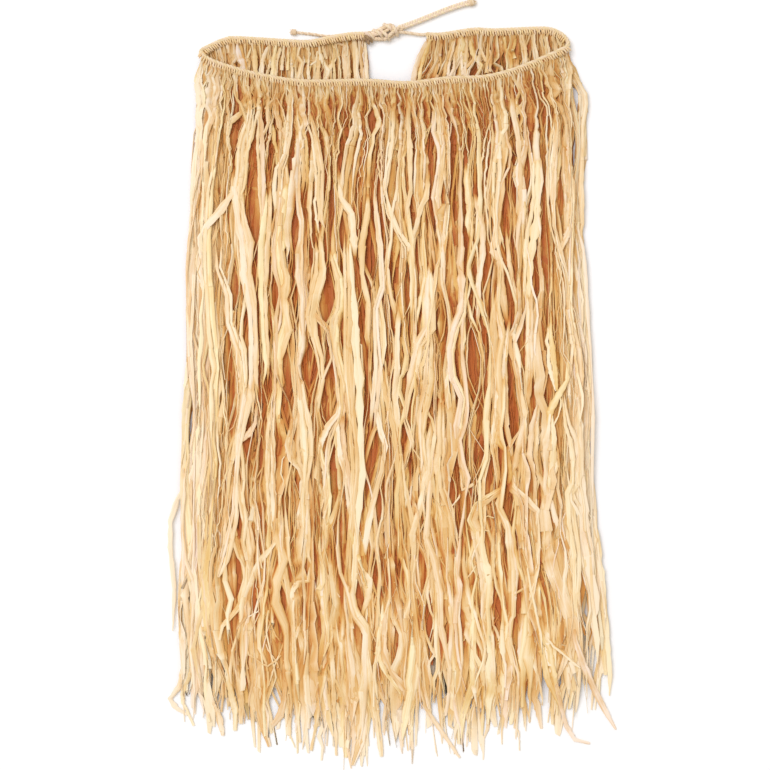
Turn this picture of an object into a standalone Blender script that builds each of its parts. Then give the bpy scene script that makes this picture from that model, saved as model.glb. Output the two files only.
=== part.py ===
"""Raffia grass skirt, laid flat and tied at the back.

One plaited waist cord carries hanks of raffia. Seen from above, the back panels lie on the
surface, the front panel lies on them, and the waist is left open as a long lens. The cord's
two ends are plaited on as ties and knotted together over the gap between the back panels.

Frame: metres. +X is the right of the laid-out skirt, +Y runs from the hem to the waist, and
+Z points up off the surface. The origin is on the surface, under the middle of the skirt.
"""

import math

import bmesh
import bpy
from mathutils import Matrix, Vector

# Driving dimensions.
CORD_DIAMETER = 0.006
GAP = 0.0003  # between pieces that touch
ROW_CLEARANCE = 0.0006  # from the row to the hanks that start under it, over its bends
ROW_HEIGHT = 0.006  # of the twined row that holds the strands under the cord
ROW_THICKNESS = 0.0046
BACK_THICKNESS = 0.0090  # of a back hank, where it is fullest
FRONT_THICKNESS = 0.0130
HEADING_THICKNESS = 0.0050  # of any hank where it leaves the row
BACK_TIP_THICKNESS = 0.0025
FRONT_TIP_THICKNESS = 0.0030
LAYER_GAP = 0.0006  # between the front panel and the back panels it lies on
THIN_FROM_Y = -0.310  # both layers thin out from here to the back's hem
BACK_HEM_Y = -0.372
ON_SURFACE_Y = -0.392  # past the back's hem the front panel has come down to the surface
FRONT_CORD_Z = 0.0129
BACK_CORD_Z = 0.0033

# The waist cord, from the left back panel's inner end round the front to the right one's.
# Columns: x, y, z of its middle.
WAIST_ROUTE = (
    (-0.0315, 0.4320, 0.0076),
    (-0.0474, 0.4319, 0.0076),
    (-0.0750, 0.4272, 0.0070),
    (-0.0976, 0.4234, 0.0040),
    (-0.1195, 0.4240, BACK_CORD_Z),
    (-0.1828, 0.4278, BACK_CORD_Z),
    (-0.1990, 0.4258, 0.0036),
    (-0.2150, 0.4186, 0.0052),
    (-0.2262, 0.4110, 0.0085),
    (-0.2160, 0.4010, 0.0118),
    (-0.1862, 0.3903, FRONT_CORD_Z),
    (-0.1493, 0.3813, FRONT_CORD_Z),
    (-0.1032, 0.3749, FRONT_CORD_Z),
    (-0.0315, 0.3757, FRONT_CORD_Z),
    (0.0194, 0.3728, FRONT_CORD_Z),
    (0.0672, 0.3784, FRONT_CORD_Z),
    (0.1148, 0.3808, FRONT_CORD_Z),
    (0.1548, 0.3920, FRONT_CORD_Z),
    (0.1993, 0.4110, 0.0122),
    (0.2105, 0.4180, 0.0085),
    (0.2095, 0.4260, 0.0052),
    (0.2011, 0.4340, 0.0036),
    (0.1888, 0.4386, BACK_CORD_Z),
    (0.1708, 0.4391, BACK_CORD_Z),
    (0.1229, 0.4371, BACK_CORD_Z),
    (0.0990, 0.4379, BACK_CORD_Z),
    (0.0600, 0.4322, BACK_CORD_Z),
    (0.0422, 0.4326, BACK_CORD_Z),
)
# The rows of WAIST_ROUTE between which each panel hangs: first, last.
BACK_LEFT_SPAN = (0, 7)
FRONT_SPAN = (8, 19)
BACK_RIGHT_SPAN = (21, 27)
CORD_STEP = 0.012

# Each panel's side edges. Columns: y, x of the left edge, x of the right edge.
FRONT_EDGES = (
    (0.400, -0.2200, 0.2060),
    (0.350, -0.2338, 0.2315),
    (0.240, -0.2422, 0.2290),
    (0.115, -0.2445, 0.2340),
    (-0.005, -0.2445, 0.2420),
    (-0.120, -0.2520, 0.2410),
    (-0.180, -0.2624, 0.2505),
    (-0.250, -0.2530, 0.2565),
    (-0.320, -0.2505, 0.2624),
    (-0.370, -0.2529, 0.2490),
    (-0.442, -0.2267, 0.2315),
)
BACK_LEFT_EDGES = (
    (0.425, -0.2080, -0.0325),
    (0.350, -0.2300, -0.0270),
    (0.240, -0.2380, -0.0130),
    (0.115, -0.2400, -0.0040),
    (-0.120, -0.2440, -0.0030),
    (-0.310, -0.2430, -0.0050),
    (-0.372, -0.2350, -0.0080),
)
BACK_RIGHT_EDGES = (
    (0.432, 0.0430, 0.2050),
    (0.350, 0.0180, 0.2260),
    (0.240, 0.0110, 0.2250),
    (0.115, 0.0040, 0.2300),
    (-0.120, 0.0030, 0.2360),
    (-0.310, 0.0050, 0.2480),
    (-0.372, 0.0080, 0.2420),
)
# Where each hank's tip ends, in y, from left to right.
FRONT_TIPS = (
    -0.398, -0.404, -0.414, -0.406, -0.428, -0.4425,
    -0.430, -0.438, -0.432, -0.412, -0.420, -0.372,
)  # fmt: skip
BACK_LEFT_TIPS = (-0.352, -0.364, -0.358, -0.372, -0.366)
BACK_RIGHT_TIPS = (-0.368, -0.360, -0.372, -0.362, -0.340)

# The heights, in y, at which every hank has a section below its heading.
SECTION_YS = (0.330, 0.280, 0.200, 0.110, 0.020, -0.070, -0.160, -0.240)
LOW_SECTION_YS = (THIN_FROM_Y, BACK_HEM_Y, ON_SURFACE_Y)
HEADING_DROPS = (0.0, 0.012, 0.028)  # sections that still follow the cord's line
ACROSS = 7  # points over the top of a section, and under it
RIDGES = 3  # folds across a hank
RIDGE_DEPTH = 0.22  # as a share of its thickness
EDGE_SHARE = 0.40  # thickness at a hank's edge, as a share of its middle's
SWAY = 0.0080  # how far the line between two hanks wanders sideways, on a metre of width
SWAY_LENGTH = 0.42
SWAY_PHASE = 0.37  # of a wave, from one such line to the next
SEAM_AT_TIP = 0.0050  # between two hanks' tips

# The ties: columns x, y, z of each route's points. The plaited one is the left panel's, the
# thin one the right panel's, which comes back under the left panel's cord.
PLAITED_DIAMETER = 0.0080
THIN_DIAMETER = 0.0040
LEFT_TIE_SPAN = (
    (-0.0312, 0.4320, 0.0076),
    (-0.0275, 0.4322, 0.0074),
    (-0.0238, 0.4325, 0.0070),
)
RIGHT_TIE_SPAN = (
    (0.0419, 0.4326, 0.0033),
    (0.0350, 0.4324, 0.0034),
    (0.0240, 0.4328, 0.0040),
    (0.0100, 0.4330, 0.0052),
)
PLAITED_END = (
    (0.0088, 0.4393, 0.0064),
    (0.0200, 0.4434, 0.0050),
    (0.0306, 0.4474, 0.0044),
    (0.0480, 0.4544, 0.0043),
    (0.0655, 0.4614, 0.0043),
    (0.0820, 0.4670, 0.0043),
    (0.0960, 0.4706, 0.0043),
)
THIN_END = (
    (-0.0224, 0.4352, 0.0024),
    (-0.0330, 0.4342, 0.0023),
    (-0.0474, 0.4334, 0.0023),
    (-0.0620, 0.4316, 0.0023),
    (-0.0760, 0.4304, 0.0023),
    (-0.0930, 0.4322, 0.0023),
    (-0.1090, 0.4346, 0.0023),
)
TIE_STEP = 0.006
KNOT_CENTRE = (-0.0082, 0.4335, 0.0064)
# The knot's overlapping turns. Columns: offset x, y, z, half length, half width, half height, turn.
KNOT_TURNS = (
    (0.0000, 0.0000, 0.0, 0.0125, 0.0062, 0.0060, 12.0),
    (-0.0060, -0.0012, -0.0004, 0.0092, 0.0050, 0.0054, -6.0),
    (0.0068, 0.0034, -0.0002, 0.0088, 0.0050, 0.0056, 26.0),
)
PLAITED_TIP_RADII = (0.0050, 0.0044, 0.0041)
THIN_TIP_RADII = (0.0046, 0.0036, 0.0031)

# Colours as linear red, green, blue.
RAFFIA = (0.80, 0.56, 0.28)
RAFFIA_SHADE = (0.62, 0.38, 0.16)
PLAIT = (0.74, 0.52, 0.29)


def clear_scene():
    for obj in list(bpy.data.objects):
        bpy.data.objects.remove(obj, do_unlink=True)


def make_material(name, colour, roughness):
    material = bpy.data.materials.new(name)
    material.use_nodes = True
    shader = material.node_tree.nodes["Principled BSDF"]
    shader.inputs["Base Color"].default_value = (*colour, 1.0)
    shader.inputs["Roughness"].default_value = roughness
    return material


def between(table, y):
    """The left and right edge at a height, read from an edge table that runs down in y."""
    if y >= table[0][0]:
        return table[0][1:]
    for upper, lower in zip(table, table[1:]):
        if y >= lower[0]:
            share = (upper[0] - y) / (upper[0] - lower[0])
            return tuple(a + share * (b - a) for a, b in zip(upper[1:], lower[1:]))
    return table[-1][1:]


def smooth_route(points, step):
    """Points about a step apart on a Catmull-Rom curve through the given ones."""
    knots = [Vector(p) for p in points]
    knots = [2 * knots[0] - knots[1], *knots, 2 * knots[-1] - knots[-2]]
    route = []
    for a, b, c, d in zip(knots, knots[1:], knots[2:], knots[3:]):
        count = max(1, round((c - b).length / step))
        for k in range(count):
            t = k / count
            route.append(
                0.5
                * (
                    2 * b
                    + (c - a) * t
                    + (2 * a - 5 * b + 4 * c - d) * t * t
                    + (3 * b - a - 3 * c + d) * t**3
                )
            )
    route.append(knots[-2])
    return route


def finish(obj, collection, material):
    collection.objects.link(obj)
    obj.data.materials.append(material)
    return obj


def tube(name, route, diameter, collection, material):
    """A round cord along a route, with closed ends."""
    curve = bpy.data.curves.new(name, "CURVE")
    curve.dimensions = "3D"
    curve.bevel_depth = diameter / 2
    curve.bevel_resolution = 2
    curve.use_fill_caps = True
    spline = curve.splines.new("POLY")
    spline.points.add(len(route) - 1)
    for point, place in zip(spline.points, route):
        point.co = (*place, 1.0)
    return finish(bpy.data.objects.new(name, curve), collection, material)


def loft(name, rings, collection, material):
    """A closed solid through rings of as many points each: a lower side's, then the upper's back."""
    mesh = bpy.data.meshes.new(name)
    bm = bmesh.new()
    made = [[bm.verts.new(place) for place in ring] for ring in rings]
    for ring, after in zip(made, made[1:]):
        for k in range(len(ring)):
            n = (k + 1) % len(ring)
            bm.faces.new((ring[k], ring[n], after[n], after[k]))
    for end, turn in ((made[0], -1), (made[-1], 1)):
        for k in range(len(end) // 2 - 1):
            bm.faces.new((end[k], end[k + 1], end[-2 - k], end[-1 - k])[::turn])
    if bm.calc_volume(signed=True) < 0:
        bmesh.ops.reverse_faces(bm, faces=bm.faces)
    bm.to_mesh(mesh)
    bm.free()
    return finish(bpy.data.objects.new(name, mesh), collection, material)


def row_sides(span):
    """The upper and the lower line of the row along one panel's stretch of the cord."""
    route = smooth_route(WAIST_ROUTE[span[0] : span[1] + 1], CORD_STEP)
    near, far = [], []
    for k, place in enumerate(route):
        along = route[min(k + 1, len(route) - 1)] - route[max(k - 1, 0)]
        down = Vector((along.y, -along.x, 0)).normalized()
        if down.y > 0:
            down = -down
        near.append(place + down * (CORD_DIAMETER / 2 + GAP))
        far.append(place + down * (CORD_DIAMETER / 2 + ROW_HEIGHT))
    return near, far


def row_foot(x, span):
    """Where a hank starts over x: just below its row."""
    foot = sorted((place.x, place.y) for place in row_sides(span)[1])
    if x <= foot[0][0]:
        return foot[0][1] - ROW_CLEARANCE
    for left, right in zip(foot, foot[1:]):
        if x <= right[0]:
            share = (x - left[0]) / (right[0] - left[0])
            return left[1] + share * (right[1] - left[1]) - ROW_CLEARANCE
    return foot[-1][1] - ROW_CLEARANCE


def back_top(y):
    """How high the back hanks' crowns reach."""
    share = (THIN_FROM_Y - y) / (THIN_FROM_Y - BACK_HEM_Y)
    return BACK_THICKNESS - min(1, max(0, share)) * (BACK_THICKNESS - BACK_TIP_THICKNESS)


def back_layer(y, drop):
    """The underside and the top of a back hank's crown. The underside is flat on the surface."""
    return 0.0, headed(drop, back_top(y))


def front_layer(y, drop):
    """The underside and the top of a front hank's crown. It lies on the back panels, and past
    their hem on the surface."""
    under = back_top(y) + LAYER_GAP
    if y < BACK_HEM_Y:
        share = (BACK_HEM_Y - y) / (BACK_HEM_Y - ON_SURFACE_Y)
        under *= 1 - min(1, share)
    share = (THIN_FROM_Y - y) / (THIN_FROM_Y - ON_SURFACE_Y)
    full = FRONT_THICKNESS - min(1, max(0, share)) * (FRONT_THICKNESS - FRONT_TIP_THICKNESS)
    return under, under + headed(drop, full)


def headed(drop, full):
    """A hank's thickness this far below the row: thin where it is gathered, soon full."""
    share = min(1, drop / 0.045)
    return HEADING_THICKNESS + (full - HEADING_THICKNESS) * share * share * (3 - 2 * share)


def seam(k, count, y):
    """The line between hank k - 1 and hank k, as a share of the panel's width."""
    if k in (0, count):
        return k / count
    return k / count + SWAY * math.sin(2 * math.pi * (y / SWAY_LENGTH + SWAY_PHASE * k))


def section(k, count, edges, span, y, drop, layer):
    """One ring across hank k. A drop is given while the section still follows the cord."""
    left, right = between(edges, y)
    seam_half = (GAP + SEAM_AT_TIP * max(0, min(1, (0.1 - y) / 0.5))) / 2
    start = left + (right - left) * seam(k, count, y) + seam_half
    end = left + (right - left) * seam(k + 1, count, y) - seam_half
    bottom, top = [], []
    for n in range(ACROSS):
        t = 2 * n / (ACROSS - 1) - 1
        x = start + (end - start) * (t + 1) / 2
        foot = row_foot(x, span)
        own_drop = foot - y if drop is None else drop
        own_y = foot - own_drop
        under, crown = layer(own_y, own_drop)
        fold = 1 - RIDGE_DEPTH * 0.5 * (1 - math.cos(RIDGES * math.pi * (t + 1)))
        share = (EDGE_SHARE + (1 - EDGE_SHARE) * math.sqrt(max(0, 1 - t * t))) * fold
        bottom.append((x, own_y, under))
        top.append((x, own_y, under + (crown - under) * share))
    return bottom + top[::-1]


def fringe(prefix, edges, span, tips, layer, collection, material):
    """A panel's hanks, side by side from left to right."""
    for k, tip in enumerate(tips):
        heading_y = edges[0][0]
        rings = [
            section(k, len(tips), edges, span, heading_y - drop, drop, layer)
            for drop in HEADING_DROPS
        ]
        ys = [y for y in (*SECTION_YS, *LOW_SECTION_YS) if y > tip + 0.004] + [tip]
        rings += [section(k, len(tips), edges, span, y, None, layer) for y in ys]
        loft(f"{prefix}_hank_{k + 1:02d}", rings, collection, material)


def knot_row(name, span, collection, material):
    """The twined row that binds the strands just below one stretch of the cord."""
    half = Vector((0, 0, ROW_THICKNESS / 2))
    rings = [
        [near - half, near + half, far + half, far - half] for near, far in zip(*row_sides(span))
    ]
    loft(name, rings, collection, material)


def ellipsoid(name, centre, radii, turn, collection, material):
    mesh = bpy.data.meshes.new(name)
    bm = bmesh.new()
    place = Matrix.Translation(centre) @ Matrix.Rotation(math.radians(turn), 4, "Z")
    bmesh.ops.create_uvsphere(
        bm, u_segments=16, v_segments=10, radius=1, matrix=place @ Matrix.Diagonal((*radii, 1))
    )
    bm.to_mesh(mesh)
    bm.free()
    mesh.shade_smooth()
    return finish(bpy.data.objects.new(name, mesh), collection, material)


def tie_knot(collection, helpers, material):
    """The two ties knotted over each other: three overlapping turns, joined."""
    made = []
    for n, (x, y, z, length, width, height, turn) in enumerate(KNOT_TURNS):
        centre = Vector(KNOT_CENTRE) + Vector((x, y, z))
        name = "tie_knot" if n == 0 else f"knot_turn_{n}"
        owner = collection if n == 0 else helpers
        made.append(ellipsoid(name, centre, (length, width, height), turn, owner, material))
    for turn in made[1:]:
        turn.hide_render = True
        turn.display_type = "WIRE"
        joined = made[0].modifiers.new(turn.name, "BOOLEAN")
        joined.operation = "UNION"
        joined.object = turn


def tie_end(name, points, diameter, radii, collection, material):
    """A tie's free end, with the small knot that stops it from unplaiting."""
    route = smooth_route(points, TIE_STEP)
    tube(f"{name}_end", route, diameter, collection, material)
    out = (route[-1] - route[-2]).normalized()
    centre = route[-1] + out * (radii[0] + GAP)
    centre.z = radii[2] + GAP
    turn = math.degrees(math.atan2(out.y, out.x))
    ellipsoid(f"{name}_tip", centre, radii, turn, collection, material)


def main():
    clear_scene()
    skirt = bpy.data.collections.new("grass_skirt")
    helpers = bpy.data.collections.new("helpers")
    for collection in (skirt, helpers):
        bpy.context.scene.collection.children.link(collection)
    front = make_material("raffia_front", RAFFIA, 0.6)
    back = make_material("raffia_back", RAFFIA_SHADE, 0.65)
    plait = make_material("plaited_raffia", PLAIT, 0.7)

    tube("waist_cord", smooth_route(WAIST_ROUTE, CORD_STEP), CORD_DIAMETER, skirt, plait)
    knot_row("front_row", FRONT_SPAN, skirt, front)
    knot_row("back_left_row", BACK_LEFT_SPAN, skirt, back)
    knot_row("back_right_row", BACK_RIGHT_SPAN, skirt, back)
    fringe("front", FRONT_EDGES, FRONT_SPAN, FRONT_TIPS, front_layer, skirt, front)
    fringe("back_left", BACK_LEFT_EDGES, BACK_LEFT_SPAN, BACK_LEFT_TIPS, back_layer, skirt, back)
    fringe(
        "back_right", BACK_RIGHT_EDGES, BACK_RIGHT_SPAN, BACK_RIGHT_TIPS, back_layer, skirt, back
    )
    tube("tie_left_span", smooth_route(LEFT_TIE_SPAN, TIE_STEP), CORD_DIAMETER, skirt, plait)
    tube("tie_right_span", smooth_route(RIGHT_TIE_SPAN, TIE_STEP), THIN_DIAMETER, skirt, plait)
    tie_knot(skirt, helpers, plait)
    tie_end("tie_plaited", PLAITED_END, PLAITED_DIAMETER, PLAITED_TIP_RADII, skirt, plait)
    tie_end("tie_thin", THIN_END, THIN_DIAMETER, THIN_TIP_RADII, skirt, plait)


main()
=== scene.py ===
"""Looks of the raffia grass skirt, laid flat on a pale surface and seen from straight above.

Every strand is a thin closed ribbon swept along its own path: it leaves the twined row under the
waist cord, crumples where it is gathered, spreads into clumps with slits between them, twists,
splits and ends in a cut or frayed tip. Lengths are in metres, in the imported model's frame: +X runs
to the photo's right, +Y from hem to waist, and +Z up off the surface.
"""

import math

import bpy
import numpy as np
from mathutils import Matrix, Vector


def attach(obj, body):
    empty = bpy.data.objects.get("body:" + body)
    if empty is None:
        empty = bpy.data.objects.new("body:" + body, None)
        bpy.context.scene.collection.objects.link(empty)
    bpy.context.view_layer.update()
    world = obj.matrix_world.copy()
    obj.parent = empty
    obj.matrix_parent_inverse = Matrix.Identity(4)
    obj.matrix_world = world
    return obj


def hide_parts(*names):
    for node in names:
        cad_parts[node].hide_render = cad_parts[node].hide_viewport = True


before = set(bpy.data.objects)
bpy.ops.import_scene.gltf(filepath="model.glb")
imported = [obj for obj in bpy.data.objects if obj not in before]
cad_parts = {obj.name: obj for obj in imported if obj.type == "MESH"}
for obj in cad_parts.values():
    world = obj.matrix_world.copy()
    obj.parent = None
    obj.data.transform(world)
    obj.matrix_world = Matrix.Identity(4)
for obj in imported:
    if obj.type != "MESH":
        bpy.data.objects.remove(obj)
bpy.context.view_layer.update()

BODY = "root"
MM = 0.001
SEED = 20
WHOLE_TURN = 6.28  # in radians, near enough for the phases of waves
SEED_RANGE = 900  # that the strands' own places in the materials' noises spread over

# The photo's frame: its size and scale, and the pixel that the skirt's frame has its origin at.
FRAME_PX = 770
METRES_PER_PX = 0.00119
ORIGIN_PX = (391.0, 396.5)
CAMERA_HEIGHT = 2.4
SENSOR = 36.0
SEEN_HEIGHT = 0.012  # of the raffia over the surface, where the photo's scale holds

# The waist cord's route and the panels' spans on it, as the CAD part has them.
WAIST_ROUTE = (
    (-0.0315, 0.432, 0.0076), (-0.0474, 0.4319, 0.0076), (-0.075, 0.4272, 0.007), (-0.0976, 0.4234, 0.004),
    (-0.1195, 0.424, 0.0033), (-0.1828, 0.4278, 0.0033), (-0.199, 0.4258, 0.0036), (-0.215, 0.4186, 0.0052),
    (-0.2262, 0.411, 0.0085), (-0.216, 0.401, 0.0118), (-0.1862, 0.3903, 0.0129), (-0.1493, 0.3813, 0.0129),
    (-0.1032, 0.3749, 0.0129), (-0.0315, 0.3757, 0.0129), (0.0194, 0.3728, 0.0129),
    (0.0672, 0.3784, 0.0129), (0.1148, 0.3808, 0.0129), (0.1548, 0.392, 0.0129), (0.1993, 0.411, 0.0122),
    (0.2105, 0.418, 0.0085), (0.2095, 0.426, 0.0052), (0.2011, 0.434, 0.0036), (0.1888, 0.4386, 0.0033),
    (0.1708, 0.4391, 0.0033), (0.1229, 0.4371, 0.0033), (0.099, 0.4379, 0.0033), (0.06, 0.4322, 0.0033),
    (0.0422, 0.4326, 0.0033),
)
FRONT_SPAN, BACK_LEFT_SPAN, BACK_RIGHT_SPAN = (8, 19), (0, 8), (20, 27)  # the route's points
ROW_DROP = 0.0048  # from the cord's middle to the twining
HEAD_SPACING = 0.0041  # between two strand bundles on the row
LOOP_SPACING = 0.0029  # between two loops of the row's twining
PER_BUNDLE = 4  # strands

# Each panel's side edges. Columns: y, x of the left edge, x of the right edge.
FRONT_EDGES = (
    (0.412, -0.221, 0.206), (0.35, -0.231, 0.227), (0.24, -0.2385, 0.225), (0.115, -0.2405, 0.23),
    (-0.005, -0.2405, 0.237), (-0.12, -0.247, 0.237), (-0.25, -0.249, 0.251), (-0.32, -0.246, 0.252),
    (-0.443, -0.24, 0.248),
)
BACK_LEFT_EDGES = (
    (0.428, -0.213, -0.03), (0.35, -0.23, -0.0265), (0.24, -0.238, -0.013), (0.115, -0.24, -0.004),
    (-0.12, -0.244, 0.003), (-0.31, -0.243, 0.003), (-0.39, -0.235, 0),
)
BACK_RIGHT_EDGES = (
    (0.436, 0.042, 0.206), (0.395, 0.029, 0.218), (0.35, 0.018, 0.226), (0.24, 0.009, 0.225),
    (0.115, 0.002, 0.23), (-0.12, -0.003, 0.236), (-0.31, -0.003, 0.248), (-0.39, 0, 0.242),
)
# How far down the longest strands reach. Columns: x, y.
FRONT_HEM = (
    (-0.275, -0.362), (-0.251, -0.378), (-0.23, -0.394), (-0.19, -0.398), (-0.168, -0.412), (-0.15, -0.417),
    (-0.126, -0.404), (-0.096, -0.428), (-0.084, -0.414), (-0.06, -0.44), (-0.045, -0.441), (-0.025, -0.43),
    (0, -0.418), (0.03, -0.438), (0.046, -0.412), (0.07, -0.43), (0.094, -0.434), (0.118, -0.394),
    (0.147, -0.424), (0.177, -0.39), (0.202, -0.404), (0.222, -0.411), (0.24, -0.372), (0.262, -0.396),
)
BACK_HEM = (
    (-0.26, -0.352), (-0.12, -0.378), (0, -0.366), (0.12, -0.38), (0.26, -0.35),
)

# Slits where the upper strands part. Columns, in the photo's pixels: x and y of the middle, half
# the width, half the length. The last is the lowest rank of strand that makes way.
FRONT_SLITS = (
    (286, 107, 3, 17, 0.35), (235, 136, 3, 20, 0.35), (254, 215, 6.5, 58, 0.3), (276, 292, 4, 30, 0.35),
    (327, 298, 8.5, 34, 0.3), (370, 250, 6, 40, 0.35), (288, 375, 5.5, 48, 0.3), (311, 368, 8, 28, 0.35),
    (328, 390, 5.5, 36, 0.25), (235, 290, 3.5, 38, 0.35), (343, 233, 3.2, 26, 0.35),
    (363, 312, 2.8, 22, 0.35), (268, 384, 4, 17, 0.35), (208, 368, 3.5, 18, 0.4), (191, 375, 2.2, 14, 0.4),
    (295, 228, 3.2, 22, 0.35), (295, 300, 3.2, 22, 0.35), (514, 148, 5, 22, 0.3), (503, 226, 3.2, 38, 0.25),
    (506, 295, 5, 38, 0.3), (515, 191, 2.6, 18, 0.35), (527, 175, 3.2, 30, 0.35), (536, 285, 3.6, 28, 0.35),
    (412, 217, 4.2, 22, 0.35), (428, 118, 2.4, 17, 0.4), (474, 270, 3.2, 30, 0.35),
    (382, 240, 2.8, 20, 0.4), (409, 290, 3.6, 36, 0.35), (560, 198, 3, 24, 0.45), (544, 116, 2.8, 17, 0.35),
    (474, 365, 6, 48, 0.3), (508, 378, 3.8, 26, 0.3), (509, 315, 4.2, 24, 0.35), (513, 422, 5.5, 28, 0.35),
    (479, 455, 5, 28, 0.35), (440, 322, 5, 32, 0.35), (405, 386, 4.6, 16, 0.35), (403, 435, 4, 23, 0.35),
    (429, 428, 3.2, 16, 0.4), (548, 393, 4, 19, 0.45), (235, 574, 8.5, 32, 0.4), (234, 616, 4.6, 22, 0.5),
    (240, 522, 3.2, 22, 0.4), (286, 412, 5, 28, 0.35), (284, 467, 3.4, 14, 0.4), (329, 410, 6, 24, 0.25),
    (334, 482, 4.2, 50, 0.3), (371, 445, 7, 46, 0.3), (379, 505, 3.2, 20, 0.4), (385, 535, 3.4, 18, 0.4),
    (261, 460, 2.4, 38, 0.35), (249, 441, 4, 17, 0.35), (298, 480, 3.2, 20, 0.4), (276, 560, 3.2, 15, 0.45),
    (287, 580, 4.2, 19, 0.45), (283, 603, 4.4, 20, 0.5), (341, 600, 3, 42, 0.4), (358, 598, 4.2, 32, 0.4),
    (335, 662, 5.5, 24, 0.55), (421, 575, 5, 32, 0.35), (452, 495, 3.4, 22, 0.35), (488, 545, 3.8, 30, 0.4),
    (507, 505, 4.5, 18, 0.4), (498, 610, 4, 28, 0.45), (561, 560, 4, 26, 0.45), (557, 508, 3.6, 18, 0.45),
    (529, 650, 3.5, 18, 0.6), (239.8, 91, 1.5, 12, 0.12), (230, 107, 1.7, 9, 0.15),
    (205, 116, 3.4, 12, 0.2), (240, 124, 1.9, 9, 0.15), (222, 104, 1.2, 8, 0.2), (262, 87, 1.5, 7, 0.32),
    (263.7, 106, 1.3, 11, 0.32), (265.2, 124, 2, 9, 0.15), (275, 125, 1.3, 8, 0.2),
    (288.6, 96, 1.9, 6, 0.15), (293.5, 110.5, 1.8, 8, 0.15), (297.8, 122, 1.3, 7, 0.2),
    (299.8, 97, 1.1, 7, 0.32), (314, 108, 2, 16, 0.12), (322, 101, 2.3, 9, 0.12),
    (322.8, 118, 1.1, 13, 0.12), (330.2, 103, 2, 11, 0.12), (337.5, 100, 1.4, 8, 0.32),
    (341, 117, 1.8, 12, 0.12), (352.4, 98, 2, 8, 0.12), (352.3, 123, 1.4, 8, 0.2),
    (377.3, 96, 1.4, 7, 0.12), (372.5, 121, 4.4, 15, 0.12), (381.8, 113, 1.5, 8, 0.2),
    (386.3, 100, 1.6, 8, 0.15), (397.5, 102, 1.1, 9, 0.32), (399.7, 118, 1.2, 11, 0.32),
    (412.8, 117, 1.4, 12, 0.32), (417.3, 112, 1.1, 10, 0.32), (427.3, 108, 3, 20, 0.12),
    (432.6, 102, 1.6, 6, 0.32), (449.5, 101, 1.4, 8, 0.32), (458.8, 112, 1.4, 13, 0.32),
    (466, 103, 1.3, 12, 0.32), (477, 116, 1.5, 8, 0.32), (487, 112, 1.4, 14, 0.32),
    (499.6, 92, 1.1, 7, 0.32), (504.8, 100, 1.3, 20, 0.12), (511.6, 93, 1.9, 8, 0.12),
    (516.5, 91, 1.3, 9, 0.32), (520.5, 102, 1.6, 10, 0.15), (518.6, 117, 1.6, 9, 0.15),
    (528.5, 77, 2, 6, 0.12), (530.6, 109, 1.5, 6, 0.15), (544.6, 88, 1.3, 13, 0.12),
    (556.5, 80, 1.9, 9, 0.2), (557.5, 99, 1.3, 8, 0.2), (572.8, 105, 1.5, 10, 0.2),
    (277, 638, 4.5, 20, 0.45), (300, 648, 3.4, 24, 0.4), (360, 638, 3.4, 20, 0.4), (375, 577, 3, 20, 0.4),
    (374, 648, 2.6, 17, 0.4), (396, 646, 5, 32, 0.35), (404, 578, 2.2, 28, 0.35), (430, 626, 2.6, 22, 0.35),
    (434, 665, 3.4, 15, 0.45), (447, 635, 3.6, 17, 0.45), (461.5, 622, 2.2, 30, 0.35),
    (473, 580, 2.6, 15, 0.35), (478.5, 652, 2.8, 23, 0.4), (494, 638, 2, 13, 0.4), (515, 632, 3.8, 21, 0.4),
    (501, 668, 2.8, 15, 0.45), (539, 655, 2.4, 15, 0.45), (564, 628, 2.6, 21, 0.45),
)
BACK_LEFT_SLITS = (
    (236.5, 65, 1.6, 8, 0.1), (265.5, 70, 2.8, 10, 0.1), (304.5, 70, 1.6, 12, 0.1), (311, 72, 1.3, 9, 0.1),
    (322.5, 72, 1.7, 11, 0.1), (352.2, 62, 1, 14, 0.2), (361.5, 70, 0.9, 10, 0.2),
)
BACK_RIGHT_SLITS = (
    (442.8, 58, 1.5, 11, 0.1), (457.9, 70, 1.4, 7, 0.1), (469.4, 53, 1, 10, 0.2), (474.8, 70, 3.2, 8, 0.1),
    (493.6, 70, 2.2, 5, 0.1), (502.8, 64, 2, 4.5, 0.1), (528.6, 48, 2.4, 14, 0.1), (541.5, 51, 2.6, 6, 0.1),
)
# Slits down to the surface.
SEE_THROUGH = (
    (190, 420, 1.8, 34, -1), (577.4, 96, 4.2, 26, -1), (574.6, 152, 2.2, 34, -1), (586.5, 604, 3.6, 20, -1),
    (179, 548, 2, 40, -1), (594, 658, 3.2, 20, -1), (187, 682, 3.4, 15, -1), (188.5, 598, 1.6, 30, -1),
    (212, 684, 2.6, 14, -1), (275, 702, 5.5, 15, -1), (340, 704, 3.4, 14, -1), (382, 706, 2.6, 14, -1),
    (497, 706, 2.8, 14, -1), (540, 696, 2.2, 12, -1), (560, 680, 3, 13, -1),
)
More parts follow.
